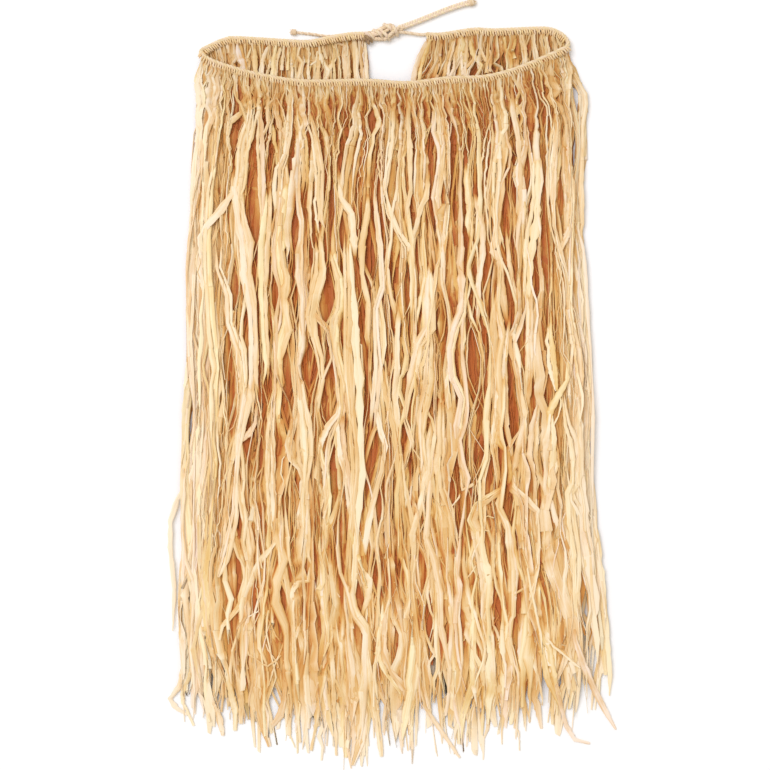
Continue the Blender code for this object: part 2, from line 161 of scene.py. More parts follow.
# Ribbons that show whole. Each point, in the photo's pixels: x, y and width.
FRONT_RIBBONS = (
    ((236, 190, 10), (242, 225, 12), (246, 243, 14), (246, 274, 13), (252, 309, 9), (254, 344, 9),
     (254, 379, 9)),
    ((267, 204, 9), (266, 232, 11), (264, 260, 11), (263, 288, 9), (264, 316, 7), (266, 344, 7),
     (267, 365, 6)),
    ((284, 190, 8), (281, 218, 11), (278, 249, 12), (278, 269, 10), (282, 288, 7), (284, 309, 6),
     (284, 323, 9), (278, 344, 9), (278, 386, 8), (277, 410, 7)),
    ((304, 239, 6), (304, 288, 8), (306, 309, 9), (302, 330, 8), (300, 358, 6), (296, 389, 6),
     (301, 410, 6)),
    ((320, 253, 8), (320, 274, 12), (315, 295, 12), (312, 316, 11), (315, 337, 8), (320, 358, 6),
     (322, 379, 5), (319, 398, 5)),
    ((315, 315, 5), (329, 330, 6), (334, 351, 8), (343, 379, 8), (347, 410, 8)),
    ((334, 260, 7), (340, 281, 8), (339, 309, 9), (334, 323, 9), (336, 351, 9), (345, 386, 7)),
    ((348, 253, 9), (350, 288, 11), (351, 316, 15), (351, 344, 17), (354, 379, 18), (355, 412, 15),
     (357, 442, 14), (358, 470, 14), (355, 512, 12), (352, 545, 11), (350, 580, 12)),
    ((368, 211, 5), (362, 246, 6), (362, 274, 4), (368, 302, 5), (367, 337, 5)),
    ((376, 211, 5), (380, 246, 6), (382, 288, 5), (375, 309, 5), (376, 337, 6), (378, 365, 8),
     (374, 410, 7)),
    ((341, 197, 5), (351, 214, 7), (354, 246, 6)),
    ((232, 194, 6), (221, 211, 7), (208, 225, 6), (200, 238, 5)),
    ((219, 269, 5), (229, 295, 7), (229, 323, 6), (240, 351, 9), (243, 379, 8)),
    ((394, 111, 5), (391, 142, 6), (384, 191, 4), (388, 212, 6), (398, 233, 6), (407, 247, 5)),
    ((408, 108, 4), (410, 149, 5), (411, 191, 4), (408, 204, 3.6)),
    ((404, 187, 4), (408, 219, 4), (411, 240, 5), (412, 268, 5), (412, 296, 4)),
    ((426, 198, 5), (419, 219, 4), (413, 238, 4)),
    ((436, 112, 8), (436, 132, 11), (441, 146, 9), (440, 176, 8), (436, 198, 10), (439, 221, 8)),
    ((503, 121, 6), (506, 149, 8), (505, 167, 8), (500, 184, 5)),
    ((495, 135, 6), (494, 163, 8), (492, 184, 9), (489, 205, 8), (495, 219, 6), (499, 240, 7)),
    ((512, 112, 5), (519, 142, 5), (520, 163, 4), (520, 191, 5), (522, 219, 5)),
    ((536, 167, 8), (536, 198, 9), (534, 219, 11), (531, 240, 13), (528, 261, 9), (527, 289, 8)),
    ((554, 135, 8), (552, 170, 10), (551, 205, 8), (553, 226, 6), (558, 247, 6), (568, 282, 6)),
    ((572, 221, 5), (566, 236, 6), (558, 254, 5)),
    ((503, 190, 4), (499, 211, 5), (492, 251, 6), (499, 260, 6), (502, 296, 7)),
    ((509, 261, 4), (512, 282, 4), (520, 310, 4)),
    ((477, 207, 5), (482, 226, 5), (482, 254, 6), (478, 282, 5), (478, 310, 4)),
    ((466, 184, 6), (470, 205, 7), (468, 226, 5)),
    ((429, 280, 8), (429, 300, 12), (429, 328, 11), (419, 345, 10), (414, 370, 10), (408, 395, 6),
     (405, 419, 4), (412, 442, 4)),
    ((430, 346, 5), (429, 360, 9), (428, 384, 12), (422, 412, 11), (421, 436, 7), (424, 461, 7)),
    ((463, 300, 6), (461, 312, 9), (454, 328, 9), (450, 349, 8), (452, 377, 8), (462, 398, 7),
     (458, 426, 8)),
    ((495, 306, 8), (496, 321, 14), (497, 338, 15), (492, 367, 9), (491, 398, 7), (489, 426, 8),
     (494, 451, 6), (498, 478, 5)),
    ((498, 394, 6), (499, 408, 11), (498, 424, 11), (494, 440, 7)),
    ((508, 335, 4), (505, 356, 5), (505, 398, 5), (506, 426, 5), (511, 447, 4)),
    ((514, 332, 4), (517, 363, 4), (520, 391, 5), (523, 419, 5), (519, 444, 6), (513, 468, 5)),
    ((529, 300, 7), (529, 342, 9), (529, 370, 9), (527, 398, 7)),
    ((549, 335, 6), (551, 362, 10), (554, 378, 7), (556, 391, 2)),
    ((567, 380, 4), (557, 398, 6), (550, 411, 7), (548, 424, 5)),
    ((550, 424, 6), (550, 440, 13), (549, 462, 12), (547, 480, 7)),
    ((564, 405, 4), (568, 426, 6), (573, 440, 9), (576, 461, 9), (574, 484, 9)),
    ((538, 405, 5), (534, 426, 9), (531, 454, 10), (536, 480, 6)),
    ((498, 442, 5), (506, 451, 6), (510, 475, 5)),
    ((383, 363, 5), (387, 398, 7), (394, 426, 7), (398, 454, 8), (401, 480, 8), (404, 500, 7)),
    ((398, 328, 5), (397, 370, 6), (395, 398, 6), (397, 419, 5)),
    ((441, 422, 8), (440, 454, 9), (438, 466, 10), (442, 489, 7), (451, 512, 7), (454, 536, 7),
     (457, 553, 3)),
    ((247, 400, 12), (242, 428, 8), (238, 456, 5), (236, 484, 5), (235, 512, 7), (230, 538, 9),
     (224, 560, 9), (218, 577, 3)),
    ((270, 421, 8), (270, 456, 10), (270, 484, 10), (271, 512, 8)),
    ((302, 400, 9), (306, 428, 12), (308, 456, 11), (306, 480, 6), (305, 505, 8), (306, 530, 9),
     (306, 556, 8)),
    ((320, 449, 6), (326, 470, 7), (328, 498, 8), (325, 526, 6)),
    ((338, 414, 4), (329, 425, 6), (322, 441, 5)),
    ((341, 428, 9), (343, 456, 10), (347, 477, 8), (350, 498, 8)),
    ((373, 400, 4), (382, 435, 5), (386, 446, 4), (381, 470, 4), (374, 498, 5), (369, 519, 6),
     (366, 540, 5)),
    ((256, 423, 3), (250, 433, 6), (243, 441, 3)),
    ((276, 541, 3), (259, 562, 6), (251, 582, 6), (246, 596, 7), (234, 613, 5), (222, 626, 4),
     (219, 640, 3)),
    ((239, 490, 4), (245, 519, 8), (251, 547, 10), (250, 575, 7), (244, 600, 5)),
    ((281, 519, 5), (281, 554, 6), (287, 582, 6), (292, 610, 6), (294, 650, 5), (295, 690, 5),
     (300, 744, 2)),
    ((308, 581, 3), (298, 582, 5), (293, 591, 5), (292, 610, 4)),
    ((359, 565, 4), (369, 580, 6), (369, 597, 6), (363, 612, 4)),
    ((195, 466, 5), (187, 486, 6), (176, 500, 5), (170, 522, 4), (169, 548, 4), (174, 590, 4)),
    ((251, 90, 4), (241, 105, 4), (242, 113, 5), (230, 123, 5), (228, 136, 3)),
    ((250, 114, 7), (243, 149, 12), (241, 178, 12), (237, 200, 10)),
    ((275, 104, 5), (280, 126, 5), (287, 140, 4)), ((277, 98, 3), (271, 103, 4), (266, 110, 3)),
    ((291, 97, 6), (289, 132, 7), (286, 155, 6), (279, 170, 8), (278, 195, 9)),
    ((299, 120, 6), (305, 155, 8), (306, 178, 7)),
    ((311, 122, 6), (316, 143, 9), (320, 172, 10), (319, 220, 8)),
    ((260, 118, 5), (260, 149, 7), (262, 185, 7), (263, 212, 6)),
    ((530, 463, 4), (542, 481, 5), (550, 501, 6), (556, 522, 4)),
    ((549, 480, 9), (553, 466, 12), (551, 450, 12)),
    ((574, 484, 9), (569, 494, 9), (571, 522, 10), (577, 560, 9), (576, 592, 8)),
    ((573, 500, 6), (581, 514, 9), (588, 528, 12), (592, 540, 14)),
    ((585, 567, 5), (594, 592, 7), (593, 622, 5), (603, 646, 6), (606, 676, 3)),
    ((597, 538, 5), (602, 578, 6), (607, 639, 6), (611, 676, 4)),
    ((521, 538, 4), (517, 570, 4), (510, 614, 5), (508, 630, 6), (498, 641, 3)),
    ((501, 598, 3), (507, 620, 4), (509, 634, 4)), ((553, 645, 2.4), (566, 655, 3), (577, 666, 2)),
    ((538, 628, 7), (545, 650, 13), (551, 678, 12), (560, 706, 3)),
    ((493, 550, 5), (491, 580, 5), (490, 602, 6), (485, 618, 4)),
    ((476, 539, 7), (484, 578, 8), (484, 617, 7), (490, 639, 8), (492, 679, 6)),
    ((403, 486, 7), (411, 526, 8), (411, 556, 8), (409, 584, 8), (418, 640, 7), (419, 670, 4)),
    ((429, 440, 6), (427, 475, 7), (420, 509, 6), (412, 534, 6)),
    ((430, 490, 5), (426, 538, 5), (435, 561, 6), (440, 593, 6), (441, 624, 6), (450, 670, 4)),
    ((501, 490, 7), (489, 498, 9), (476, 507, 9), (472, 520, 11), (478, 532, 10), (470, 560, 6)),
    ((460, 562, 10), (464, 590, 12), (468, 606, 12), (478, 636, 8), (484, 650, 6)),
    ((512, 488, 7), (524, 499, 9), (537, 511, 7)),
    ((260, 668, 6), (260, 688, 14), (259, 710, 10), (263, 730, 8), (269, 748, 3)),
    ((292, 631, 4), (287, 662, 6), (284, 700, 6), (280, 716, 6), (272, 727, 3.2)),
    ((348, 642, 7), (354, 675, 12), (356, 700, 17), (359, 716, 18), (358, 743, 13), (352, 767, 3.2)),
    ((367, 655, 5), (370, 681, 7), (375, 712, 8), (382, 758, 3)),
    ((189, 677, 3), (181, 695, 3), (182, 705, 3), (192, 727, 2)),
    ((209, 695, 5), (218, 719, 6), (222, 737, 3)), ((228, 680, 5), (235, 710, 6), (235, 732, 3)),
    ((239, 681, 5), (241, 705, 6), (240, 725, 3.2)), ((324, 672, 4), (316, 726, 4), (311, 752, 2)),
    ((332, 657, 5), (334, 713, 4), (336, 757, 2)),
    ((383, 622, 8), (381, 652, 12), (390, 673, 11), (404, 692, 10)),
    ((425, 708, 3), (442, 734, 4), (460, 759, 2)),
    ((558, 692, 4), (567, 726, 4), (576, 741, 4), (591, 745, 2)),
    ((575, 640, 4), (583, 663, 6), (594, 689, 6), (605, 710, 5), (617, 731, 2)),
    ((178, 688, 4), (169, 700, 4), (176, 709, 4), (186, 716, 2)),
    ((573, 72, 3), (586, 93, 3), (587, 104, 3), (583, 125, 4), (581, 160, 4), (582, 205, 4)),
    ((185, 385, 4), (184, 420, 4), (184, 455, 4), (182, 492, 4)),
    ((249, 655, 1.2), (255, 658, 1.2), (262, 664, 1.4), (268, 666, 1.6), (275, 661, 1.6), (281, 655, 1.6)),
    ((269, 621, 1.2), (275, 635, 1.3), (285, 647, 1)), ((268, 649, 1.3), (277, 662, 1.4), (285, 682, 1)),
    ((288, 631, 2), (282, 649, 2), (275, 668, 1.6), (269, 686, 1.2)), ((329, 578, 1.4), (339, 597, 1.2)),
    ((257, 612, 1.2), (248, 617, 1.4), (240, 639, 1.2)), ((293, 700, 2), (286, 728, 1.6)),
    ((291, 730, 1.2), (295, 749, 1)), ((400, 519, 1.6), (406, 530, 1.4)),
    ((424, 523, 1.4), (420, 532, 1.2)), ((461, 490, 2), (474, 484, 3)),
    ((441, 561, 1.4), (449, 575, 1.4), (452, 590, 1)),
    ((549, 641, 2), (562, 653, 2.4), (572, 662, 2), (581, 668, 1.4)), ((507, 633, 2.4), (498, 644, 1.4)),
    ((483, 518, 1.3), (488, 516, 1.4), (494, 518, 1.3)),
    ((485, 530, 1.3), (489, 531, 1.3), (490, 537, 1.2)),
    ((459, 497, 1.4), (456, 501, 1.6), (452, 506, 1.4)),
    ((475, 567, 1.8), (471, 573, 1.6), (466, 579, 1.2)), ((528, 586, 2.2), (520, 591, 2), (513, 596, 1.2)),
    ((496, 610, 1.3), (499, 616, 1.2), (494, 625, 1)), ((278, 101, 1.6), (283, 110, 1.6), (287, 127, 1.4)),
    ((287, 100, 1.8), (290, 108, 1.6), (290, 122, 1.2)), ((480, 690, 1.8), (471, 712, 1.6), (468, 738, 1)),
    ((402, 700, 1.6), (408, 722, 1.4), (405, 748, 1)), ((520, 700, 1.6), (516, 724, 1.4), (519, 752, 1)),
    ((214, 690, 1.4), (207, 712, 1.3), (209, 730, 1)),
)
BACK_LEFT_RIBBONS = (
    ((216.9, 46.7, 2), (220.7, 60.7, 2.2)), ((226.5, 44, 3), (229, 49, 5), (233, 56, 4)),
    ((229.6, 60.7, 2.5), (235.4, 66.5, 3)),
    ((239.8, 45.4, 4), (241.1, 56.9, 7), (245, 68.4, 6.5), (246, 76, 6)),
    ((250, 49.2, 2), (248, 55, 2.5), (246.2, 60.7, 2)), ((254.5, 49, 3), (254.5, 60, 5.5), (255.2, 72, 5)),
    ((266.6, 47.3, 3), (261.5, 60.7, 4), (261, 73, 4)), ((269.8, 60.7, 2.4), (268.6, 73.5, 2.6)),
    ((275.6, 44.1, 3), (273, 58.2, 4), (271.7, 76, 4)),
    ((280, 47.3, 2.4), (277.4, 62, 3), (275.6, 76.7, 3)), ((283.8, 45, 2.6), (281.3, 69.6, 3)),
    ((288.3, 54.3, 2.2), (287, 69.6, 2.6)), ((293.8, 45, 2.2), (292.8, 57, 3), (293.4, 66.5, 3)),
    ((299, 45, 2.4), (297, 55, 2.6), (301.6, 62, 4), (297.9, 77.9, 4)),
    ((308.1, 46, 1.8), (308.3, 62, 2.4), (308.7, 78.6, 2.4)), ((315.7, 60.7, 2), (311.6, 49.2, 1.4)),
    ((315.7, 60.7, 2), (309.6, 59.6, 1.3)), ((315.7, 60.7, 2), (310.4, 64.4, 1.3)),
    ((315.7, 60.7, 2), (312.9, 67.2, 1.3)), ((315.7, 60.7, 2), (317.4, 49.9, 1.5)),
    ((315.7, 60.7, 2), (321, 54, 1.3)), ((317.4, 58, 4), (317.6, 66, 6), (316.4, 79.2, 6)),
    ((322, 44, 1.6), (324, 49.2, 2.4), (327.2, 58, 2.2)),
    ((334.2, 46, 3), (334.2, 56.9, 4), (329, 68, 4), (325.6, 79.2, 4)),
    ((333, 63, 1.8), (334.2, 79.2, 2.6)), ((337.4, 56, 2), (339.5, 66, 2.6), (341.2, 78, 2.6)),
    ((334.5, 42.4, 1.6), (339, 42.6, 2), (343.8, 44.4, 1.6)),
    ((346.3, 45, 4), (346.6, 60, 7), (347.6, 79.2, 7)), ((354, 38, 3), (355.4, 55, 5), (356.5, 79.2, 5)),
    ((359.7, 40, 2.6), (361, 60, 3.6), (363.2, 79.2, 4)),
    ((364.8, 42, 2.4), (365.6, 60, 3.4), (366.2, 79.2, 3.6)),
)
BACK_RIGHT_RIBBONS = (
    ((426, 42.3, 4), (420.3, 55.7, 5), (415.6, 67.8, 5), (413.4, 78.7, 5)),
    ((430.5, 39.1, 3), (424.1, 55.7, 3.6), (419.7, 68.5, 3.6), (418.4, 79.3, 3.6)),
    ((438.8, 39, 3.6), (436.9, 55.7, 5), (433.7, 77.4, 5)), ((440.7, 57, 2), (441.4, 68.5, 2.2)),
    ((445.8, 37.9, 2.6), (447.1, 48.7, 3)), ((453.5, 42, 4), (448.4, 59.5, 6), (446.8, 72, 6)),
    ((460.5, 38, 3.6), (457.3, 53, 5), (455, 62, 4)), ((454.7, 58.3, 2.4), (454.1, 68.5, 3), (450, 76, 3)),
    ((461.8, 56, 2), (463, 74.2, 2.6)), ((466.2, 38, 3), (466.9, 55.7, 4), (465.6, 74, 4)),
    ((471.3, 42, 3.6), (473, 52, 5), (478, 60, 4), (482.6, 64.6, 3), (478.4, 73, 3)),
    ((474.5, 59, 2.6), (468.8, 67.2, 2.4)), ((480.3, 44, 2.6), (481, 51, 3), (484.7, 60.8, 3)),
    ((487.9, 47, 2.4), (486.6, 72.3, 3)), ((493, 54.4, 2.4), (490.4, 71, 3)),
    ((500.7, 38, 4), (500, 50.6, 5), (497.6, 60, 4), (499.6, 69, 3.4)),
    ((504.7, 36.6, 3), (506, 48, 4), (511, 55.7, 4), (510.6, 66, 3.6)),
    ((505.3, 54, 3), (508.6, 62, 4), (511, 68, 3.6)), ((511.7, 35, 3), (512.3, 48, 4), (514, 54, 3)),
    ((517.4, 44, 4), (516.8, 64.6, 5)), ((521.9, 34, 4), (523.8, 48.7, 6), (524.4, 62, 6)),
    ((534, 33, 3.4), (534, 45.5, 4.5), (537.2, 58, 4)), ((546.1, 36, 4), (548.7, 55, 6)),
    ((542.6, 34, 2), (544.8, 54, 2.6)), ((553.1, 35, 3), (556.3, 51, 4)),
    ((557.6, 36.6, 2), (561.4, 45, 2.6)),
)

# The ties' free ends, from the knot out.
PLAITED_END = (
    (0.0088, 0.4393, 0.0064), (0.02, 0.4434, 0.005), (0.0306, 0.4474, 0.0044), (0.048, 0.4544, 0.0043),
    (0.0655, 0.4614, 0.0043), (0.082, 0.467, 0.0043), (0.096, 0.4706, 0.0043),
)
THIN_END = (
    (-0.0224, 0.4352, 0.0024), (-0.033, 0.4342, 0.0023), (-0.0474, 0.4334, 0.0023),
    (-0.062, 0.4316, 0.0023), (-0.076, 0.4304, 0.0023), (-0.095, 0.433, 0.0023), (-0.1162, 0.4352, 0.0023),
)
# Runs of three plies. Columns: tone, the plies' distance from the middle, their radius, their
# pitch, and the run's points.
LEFT_SPAN = (
    (0.78, 0.0014, 0.0016, 0.015, (
        (-0.0315, 0.432, 0.0076), (-0.0275, 0.4318, 0.0076), (-0.0236, 0.43, 0.007),
        (-0.02, 0.4285, 0.006))),
)
RIGHT_SPAN = (
    (0.78, 0.00085, 0.0011, 0.009, (
        (0.0422, 0.4326, 0.0033), (0.035, 0.4322, 0.0034), (0.0226, 0.4338, 0.0042),
        (0.009, 0.435, 0.0062), (0.002, 0.4352, 0.008))),
)
# The first, lowest turn's deep tone is painted shade, where the turns over it shade it.
KNOT_TURNS = (
    (0.45, 0.001, 0.0013, 0.01, (
        (-0.023, 0.4325, 0.003), (-0.014, 0.435, 0.003), (-0.005, 0.438, 0.003),
        (0.003, 0.44, 0.0034))),
    (0.78, 0.0012, 0.0017, 0.011, (
        (-0.03, 0.429, 0.004), (-0.02, 0.4274, 0.0042), (-0.009, 0.4274, 0.0044),
        (0.0005, 0.4305, 0.005), (0.0085, 0.4362, 0.0056), (0.015, 0.441, 0.006))),
    (0.82, 0.00095, 0.00135, 0.01, (
        (-0.008, 0.4252, 0.007), (-0.003, 0.4292, 0.0098), (0.003, 0.4345, 0.0104),
        (0.0095, 0.4395, 0.0088))),
    (0.76, 0.00105, 0.0015, 0.009, (
        (-0.0225, 0.4328, 0.0056), (-0.015, 0.4366, 0.0074), (-0.0075, 0.4402, 0.0084),
        (-0.001, 0.4424, 0.0074), (0.003, 0.4402, 0.0052))),
    (0.74, 0.00095, 0.00135, 0.009, (
        (-0.025, 0.431, 0.0066), (-0.017, 0.4318, 0.0082), (-0.0095, 0.4336, 0.009),
        (-0.003, 0.4374, 0.009), (0.003, 0.4408, 0.0078))),
)
# Short straps over the knot's turns, and worn ends under it. The straps have one make, the ends another.
KNOT_WRAPS = (
    ((-0.0212, 0.4372, 0.0048), (-0.0178, 0.4352, 0.0096), (-0.0128, 0.4316, 0.0102),
     (-0.01, 0.4282, 0.0052)),
    ((-0.0122, 0.4366, 0.0064), (-0.0088, 0.4334, 0.0112), (-0.0048, 0.429, 0.0112),
     (-0.002, 0.4254, 0.0046)),
    ((-0.0085, 0.4442, 0.0052), (-0.0048, 0.4414, 0.0104), (-0.0002, 0.438, 0.0114),
     (0.0026, 0.434, 0.0066)),
    ((0.0016, 0.4428, 0.0056), (0.0038, 0.4388, 0.0116), (0.0062, 0.4346, 0.0108),
     (0.0076, 0.4304, 0.0048)),
)
SHADED_PLY_ENDS = (
    ((-0.035, 0.429, 0.008), (-0.0305, 0.4262, 0.0092), (-0.0276, 0.4234, 0.008),
     (-0.0262, 0.4206, 0.0056)),
    ((-0.0315, 0.43, 0.0086), (-0.027, 0.4272, 0.0102), (-0.0242, 0.4248, 0.0086), (-0.0226, 0.423, 0.006)),
)
WRAP_MAKE = (0.80, 0.00095, 0.00125, 0.008)
# The worn ends' near-darkest tone is painted shade, where the knot shades them.
SHADED_PLY_MAKE = (0.08, 0.00090, 0.00105, 0.008)

# A bundle's head, from over the cord to below it. Columns: drop, lift, slant, radius.
HEAD_PROFILE = (
    (0.0010, 0.0026, -0.0006, 0.0006),
    (0.0024, 0.0026, -0.0003, 0.0010),
    (0.0038, 0.0020, 0.0000, 0.0012),
    (0.0052, 0.0011, 0.0004, 0.0011),
    (0.0068, 0.0000, 0.0009, 0.0006),
)

# Sections of broad, narrow and fine ribbons: shares of the half width, from one edge over the top to
# the other. Broad and narrow ribbons are at least so wide.
WIDE_SECTION = (1.0, 0.62, 0.18, -0.22, -0.60, -1.0)
NARROW_SECTION = (1.0, 0.30, -0.34, -1.0)
FINE_SECTION = (1.0, 0.05, -1.0)
NARROW_FROM, WIDE_FROM = 0.0020, 0.0055
LEAF_THICKNESS = 0.00022
MOST_FOLD = 0.00035  # that a lengthwise fold stands up by
LOWEST = 0.00006  # that any point of the raffia lies
CLEARANCE = 0.25 * MM  # of a ribbon's middle over the surface

# Uneven places down a ribbon. Columns: the first, the shortest and the mean gap between two, and
# how far they go.
BENDS_AT = (0.012, 0.008, 0.027, 0.95)
CRUMPLES_AT = (0.006, 0.005, 0.011, 0.110)
TURNS_AT = (0.030, 0.022, 0.066, 0.95)
LURCHES_AT = (0.03, 0.06, 0.125, 0.95)
PARTINGS_AT = (0.0, 0.014, 0.040, 0.95)
KINKS_AT = (0.0, 0.007, 0.017, 0.4)
BEND_RINGS, CRUMPLE_RINGS = 30, 8  # that each ribbon has at such places

# Widths of strands. Columns: the share of the strands, and the least and greatest width in mm.
WIDTH_BANDS = ((0.14, 0.8, 1.6), (0.24, 1.6, 3.4), (0.32, 3.4, 7.0), (0.21, 7.0, 11.0), (0.09, 11.0, 16.0))
WIDER_BELOW = 5.0  # mm that the lowest strands are wider by
# How far above the hem strands end, by kind. Columns: the kinds' upper limit, least, most.
SHORTFALLS = ((0.21, -0.008, 0.026), (0.50, 0.015, 0.06), (0.83, 0.05, 0.13), (np.inf, 0.11, 0.45))
SPLIT_CHANCES = (0.42, 0.22, 0.10)  # that a strand has each of up to three more parts
WHOLE_BELOW = 2.6 * MM  # narrower ribbons don't split
# How far the ribbons of each width sway, as a share.
SWAY_WIDTHS, SWAYS = np.array((0.8, 3.0, 9.0, 15.0)) * MM, (1.8, 0.90, 0.50, 0.36)
RISE = ((0.42, 0.13), (0.21, 0.08), (0.09, 0.03))  # wavelengths, and shares of the pile's height
# How high strands lie in the pile near the cord, by rank.
LAYERS_AT, LAYERS = (0.0, 0.45, 0.70, 0.76, 1.0), (0.0, 0.22, 0.46, 0.66, 1.0)
TWIST_RINGS = 4  # that half a turn is spread over
STRAY = 0.0045  # how far past the side edges a strand may bow
RULER = np.linspace(0, 0.92, 240)  # drops that the clumps' pull is worked out at
# Each sublayer's clumps, from the lowest up: their spacing and how strongly they draw.
FRONT_CLUMPS = ((0.024, 0.16), (0.019, 0.30), (0.019, 0.40), (0.022, 0.50))
BACK_CLUMPS = ((0.016, 0.2), (0.014, 0.4))
CLUMP_STEP = 0.075  # down to the next level of clumps

BED_INSET = 0.022  # of the panel's width, where the side strands hang free
BED_START = 0.0012  # below the cord's middle
FREE_TIP_PX = 3.4  # a placed ribbon that ends no wider than this ends in sight
FINE_PX = 2.5  # a placed ribbon that is no wider than this is a stray fibre

FOLD_ANGLE = math.radians(13)  # where a ribbon's fold shows as a crease
ROUND_ANGLE = math.radians(60)  # the same for round strands, which show none
UV_FILL = 0.86  # of a strand's own lane in the baked map
CELL = 0.0012  # of the map of the raffia's height
MARGIN = 30  # cells round that map

# Tones, from 0, deepest, to 1, palest.
# The bed's deeper tone is painted shade, for the shaded depth of the pile.
FRONT_TONE, BACK_TONE, BED_TONE, PLACED_TONE = 0.893, 0.93, 0.66, 0.87
CORD_TONE, ROW_TONE, PLAIT_TONE, THIN_TONE, TURN_TONE = 0.66, 0.78, 0.84, 0.80, 0.72
SIDE_LIGHT_TONE = 0.16  # painted light: how much paler the sides are, as if more brightly lit
EDGE_SHADE = 0.04  # painted shade: how much deeper a ribbon's edges are, for each point its section has over three
# Dimming: painted shade just below each cord, and a duller, greyer cast all over the back panels.
DIMMED_BY = (0.74, 0.76, 0.80, 1)  # what the colour is multiplied by where it is most dimmed
TINTS = ((0.985, 0.96, 1.06, 1), (1.0, 1.0, 0.86, 1))  # from one strand to the next
# Colours as linear red, green, blue, by tone.
RAFFIA_TONES = (
    (0.00, (0.48, 0.120, 0.019)),
    (0.22, (0.61, 0.272, 0.056)),
    (0.48, (0.73, 0.435, 0.150)),
    (0.75, (0.83, 0.605, 0.325)),
    (1.00, (0.93, 0.785, 0.570)),
)
PLAIT_TONES = (
    (0.00, (0.30, 0.185, 0.095)),
    (0.30, (0.53, 0.370, 0.215)),
    (0.60, (0.73, 0.550, 0.350)),
    (1.00, (0.86, 0.730, 0.560)),
)


# ---- curves and tables


def distances(points):
    """How far along a line each of its points is."""
    return np.concatenate([[0], np.cumsum(np.linalg.norm(np.diff(points, axis=0), axis=1))])


def smooth_route(points, step):
    """Evenly spaced points on a Catmull-Rom curve through the given ones."""
    given = np.array(points, float)
    ends = 2 * given[[0, -1]] - given[[1, -2]]
    knots = np.vstack([ends[:1], given, ends[1:]])
    t = np.linspace(0, 1, 24, endpoint=False)[:, None]
    fine = [
        0.5 * (2 * b + (c - a) * t + (2 * a - 5 * b + 4 * c - d) * t**2 + (3 * b - a - 3 * c + d) * t**3)
        for a, b, c, d in zip(knots, knots[1:], knots[2:], knots[3:])
    ]
    fine = np.vstack([*fine, given[-1:]])
    along = distances(fine)
    places = np.linspace(0, along[-1], max(2, round(along[-1] / step) + 1))
    return np.stack([np.interp(places, along, fine[:, k]) for k in range(3)], axis=1)


def read_table(table, column, at):
    """One column of a table, smoothed, at the given places in its first column."""
    rows = smooth_route([(row[0], row[column], 0) for row in table], 0.004)
    rows = rows[np.argsort(rows[:, 0])]
    return np.interp(at, rows[:, 0], rows[:, 1])


def ease(low, high, x):
    """From 0 at low to 1 at high, smoothly."""
    t = np.clip((x - low) / (high - low), 0, 1)
    return t * t * (3 - 2 * t)


def rows_at(places, columns, values):
    """Each row's values, read at that row's places."""
    return np.stack([np.interp(p, c, v) for p, c, v in zip(places, columns, values)])


def seen_at(px, py):
    """Where a place in the photo, in its pixels, lies in the skirt's frame."""
    return (px - ORIGIN_PX[0]) * METRES_PER_PX, (ORIGIN_PX[1] - py) * METRES_PER_PX


def uneven_nodes(rng, count, first, shortest, mean, reach):
    """Rows of places down a strand, with uneven gaps between them."""
    most = int(reach / shortest) if shortest > 0.6 * mean else int(1.7 * reach / mean) + 2
    gaps = shortest + rng.exponential(mean - shortest, (count, most))
    return first + np.cumsum(gaps, axis=1) - gaps[:, :1] * rng.random((count, 1))


def bends(rng, nodes, size, memory):
    """Sideways offsets at each strand's nodes: a walk that keeps coming back."""
    offsets = np.zeros(nodes.shape)
    steps = rng.normal(0, 1, nodes.shape) * size * (1 + 1.3 * (rng.random(nodes.shape) < 0.16))
    for k in range(1, nodes.shape[1]):
        offsets[:, k] = memory * offsets[:, k - 1] + steps[:, k]
    return offsets


def wander(rng, count, drop, waves):
    """Smooth noise along each strand. waves: rows of wavelength in metres and size."""
    total = np.zeros(drop.shape)
    for wavelength, size in waves:
        stretch = rng.uniform(0.75, 1.35, (count, 1))
        phase = rng.uniform(0, 2 * math.pi, (count, 1))
        turns = drop / (wavelength * stretch)
        total += rng.normal(0, size, (count, 1)) * np.sin(2 * math.pi * turns + phase)
    return total


def gathers(rng, along, drop):
    """Sideways sway that neighbours share, where the row draws the raffia together."""
    sway = np.zeros(drop.shape)
    for _ in range(5):
        spacing, run = rng.uniform(0.018, 0.070), rng.uniform(0.014, 0.036) * rng.choice((-1, 1))
        waves = 2 * math.pi * (along / spacing + drop / run)
        sway += 0.42 * MM * np.sin(waves + rng.uniform(0, WHOLE_TURN))
    return sway


# ---- swept meshes


def sideways_and_up(paths):
    """Directions across paths of shape (strands, rings, 3)."""
    tangent = np.gradient(paths, axis=1)
    tangent /= np.maximum(np.linalg.norm(tangent, axis=2, keepdims=True), 1e-9)
    side = np.cross(np.array((0.0, 0.0, 1.0)), tangent)
    side /= np.maximum(np.linalg.norm(side, axis=2, keepdims=True), 1e-9)
    return side, np.cross(tangent, side)


def sweep(paths, offsets):
    """Corners of shape (strands, rings, points, 3) for section offsets (side, up) along paths."""
    side, up = sideways_and_up(paths)
    return paths[:, :, None] + offsets[..., :1] * side[:, :, None] + offsets[..., 1:] * up[:, :, None]


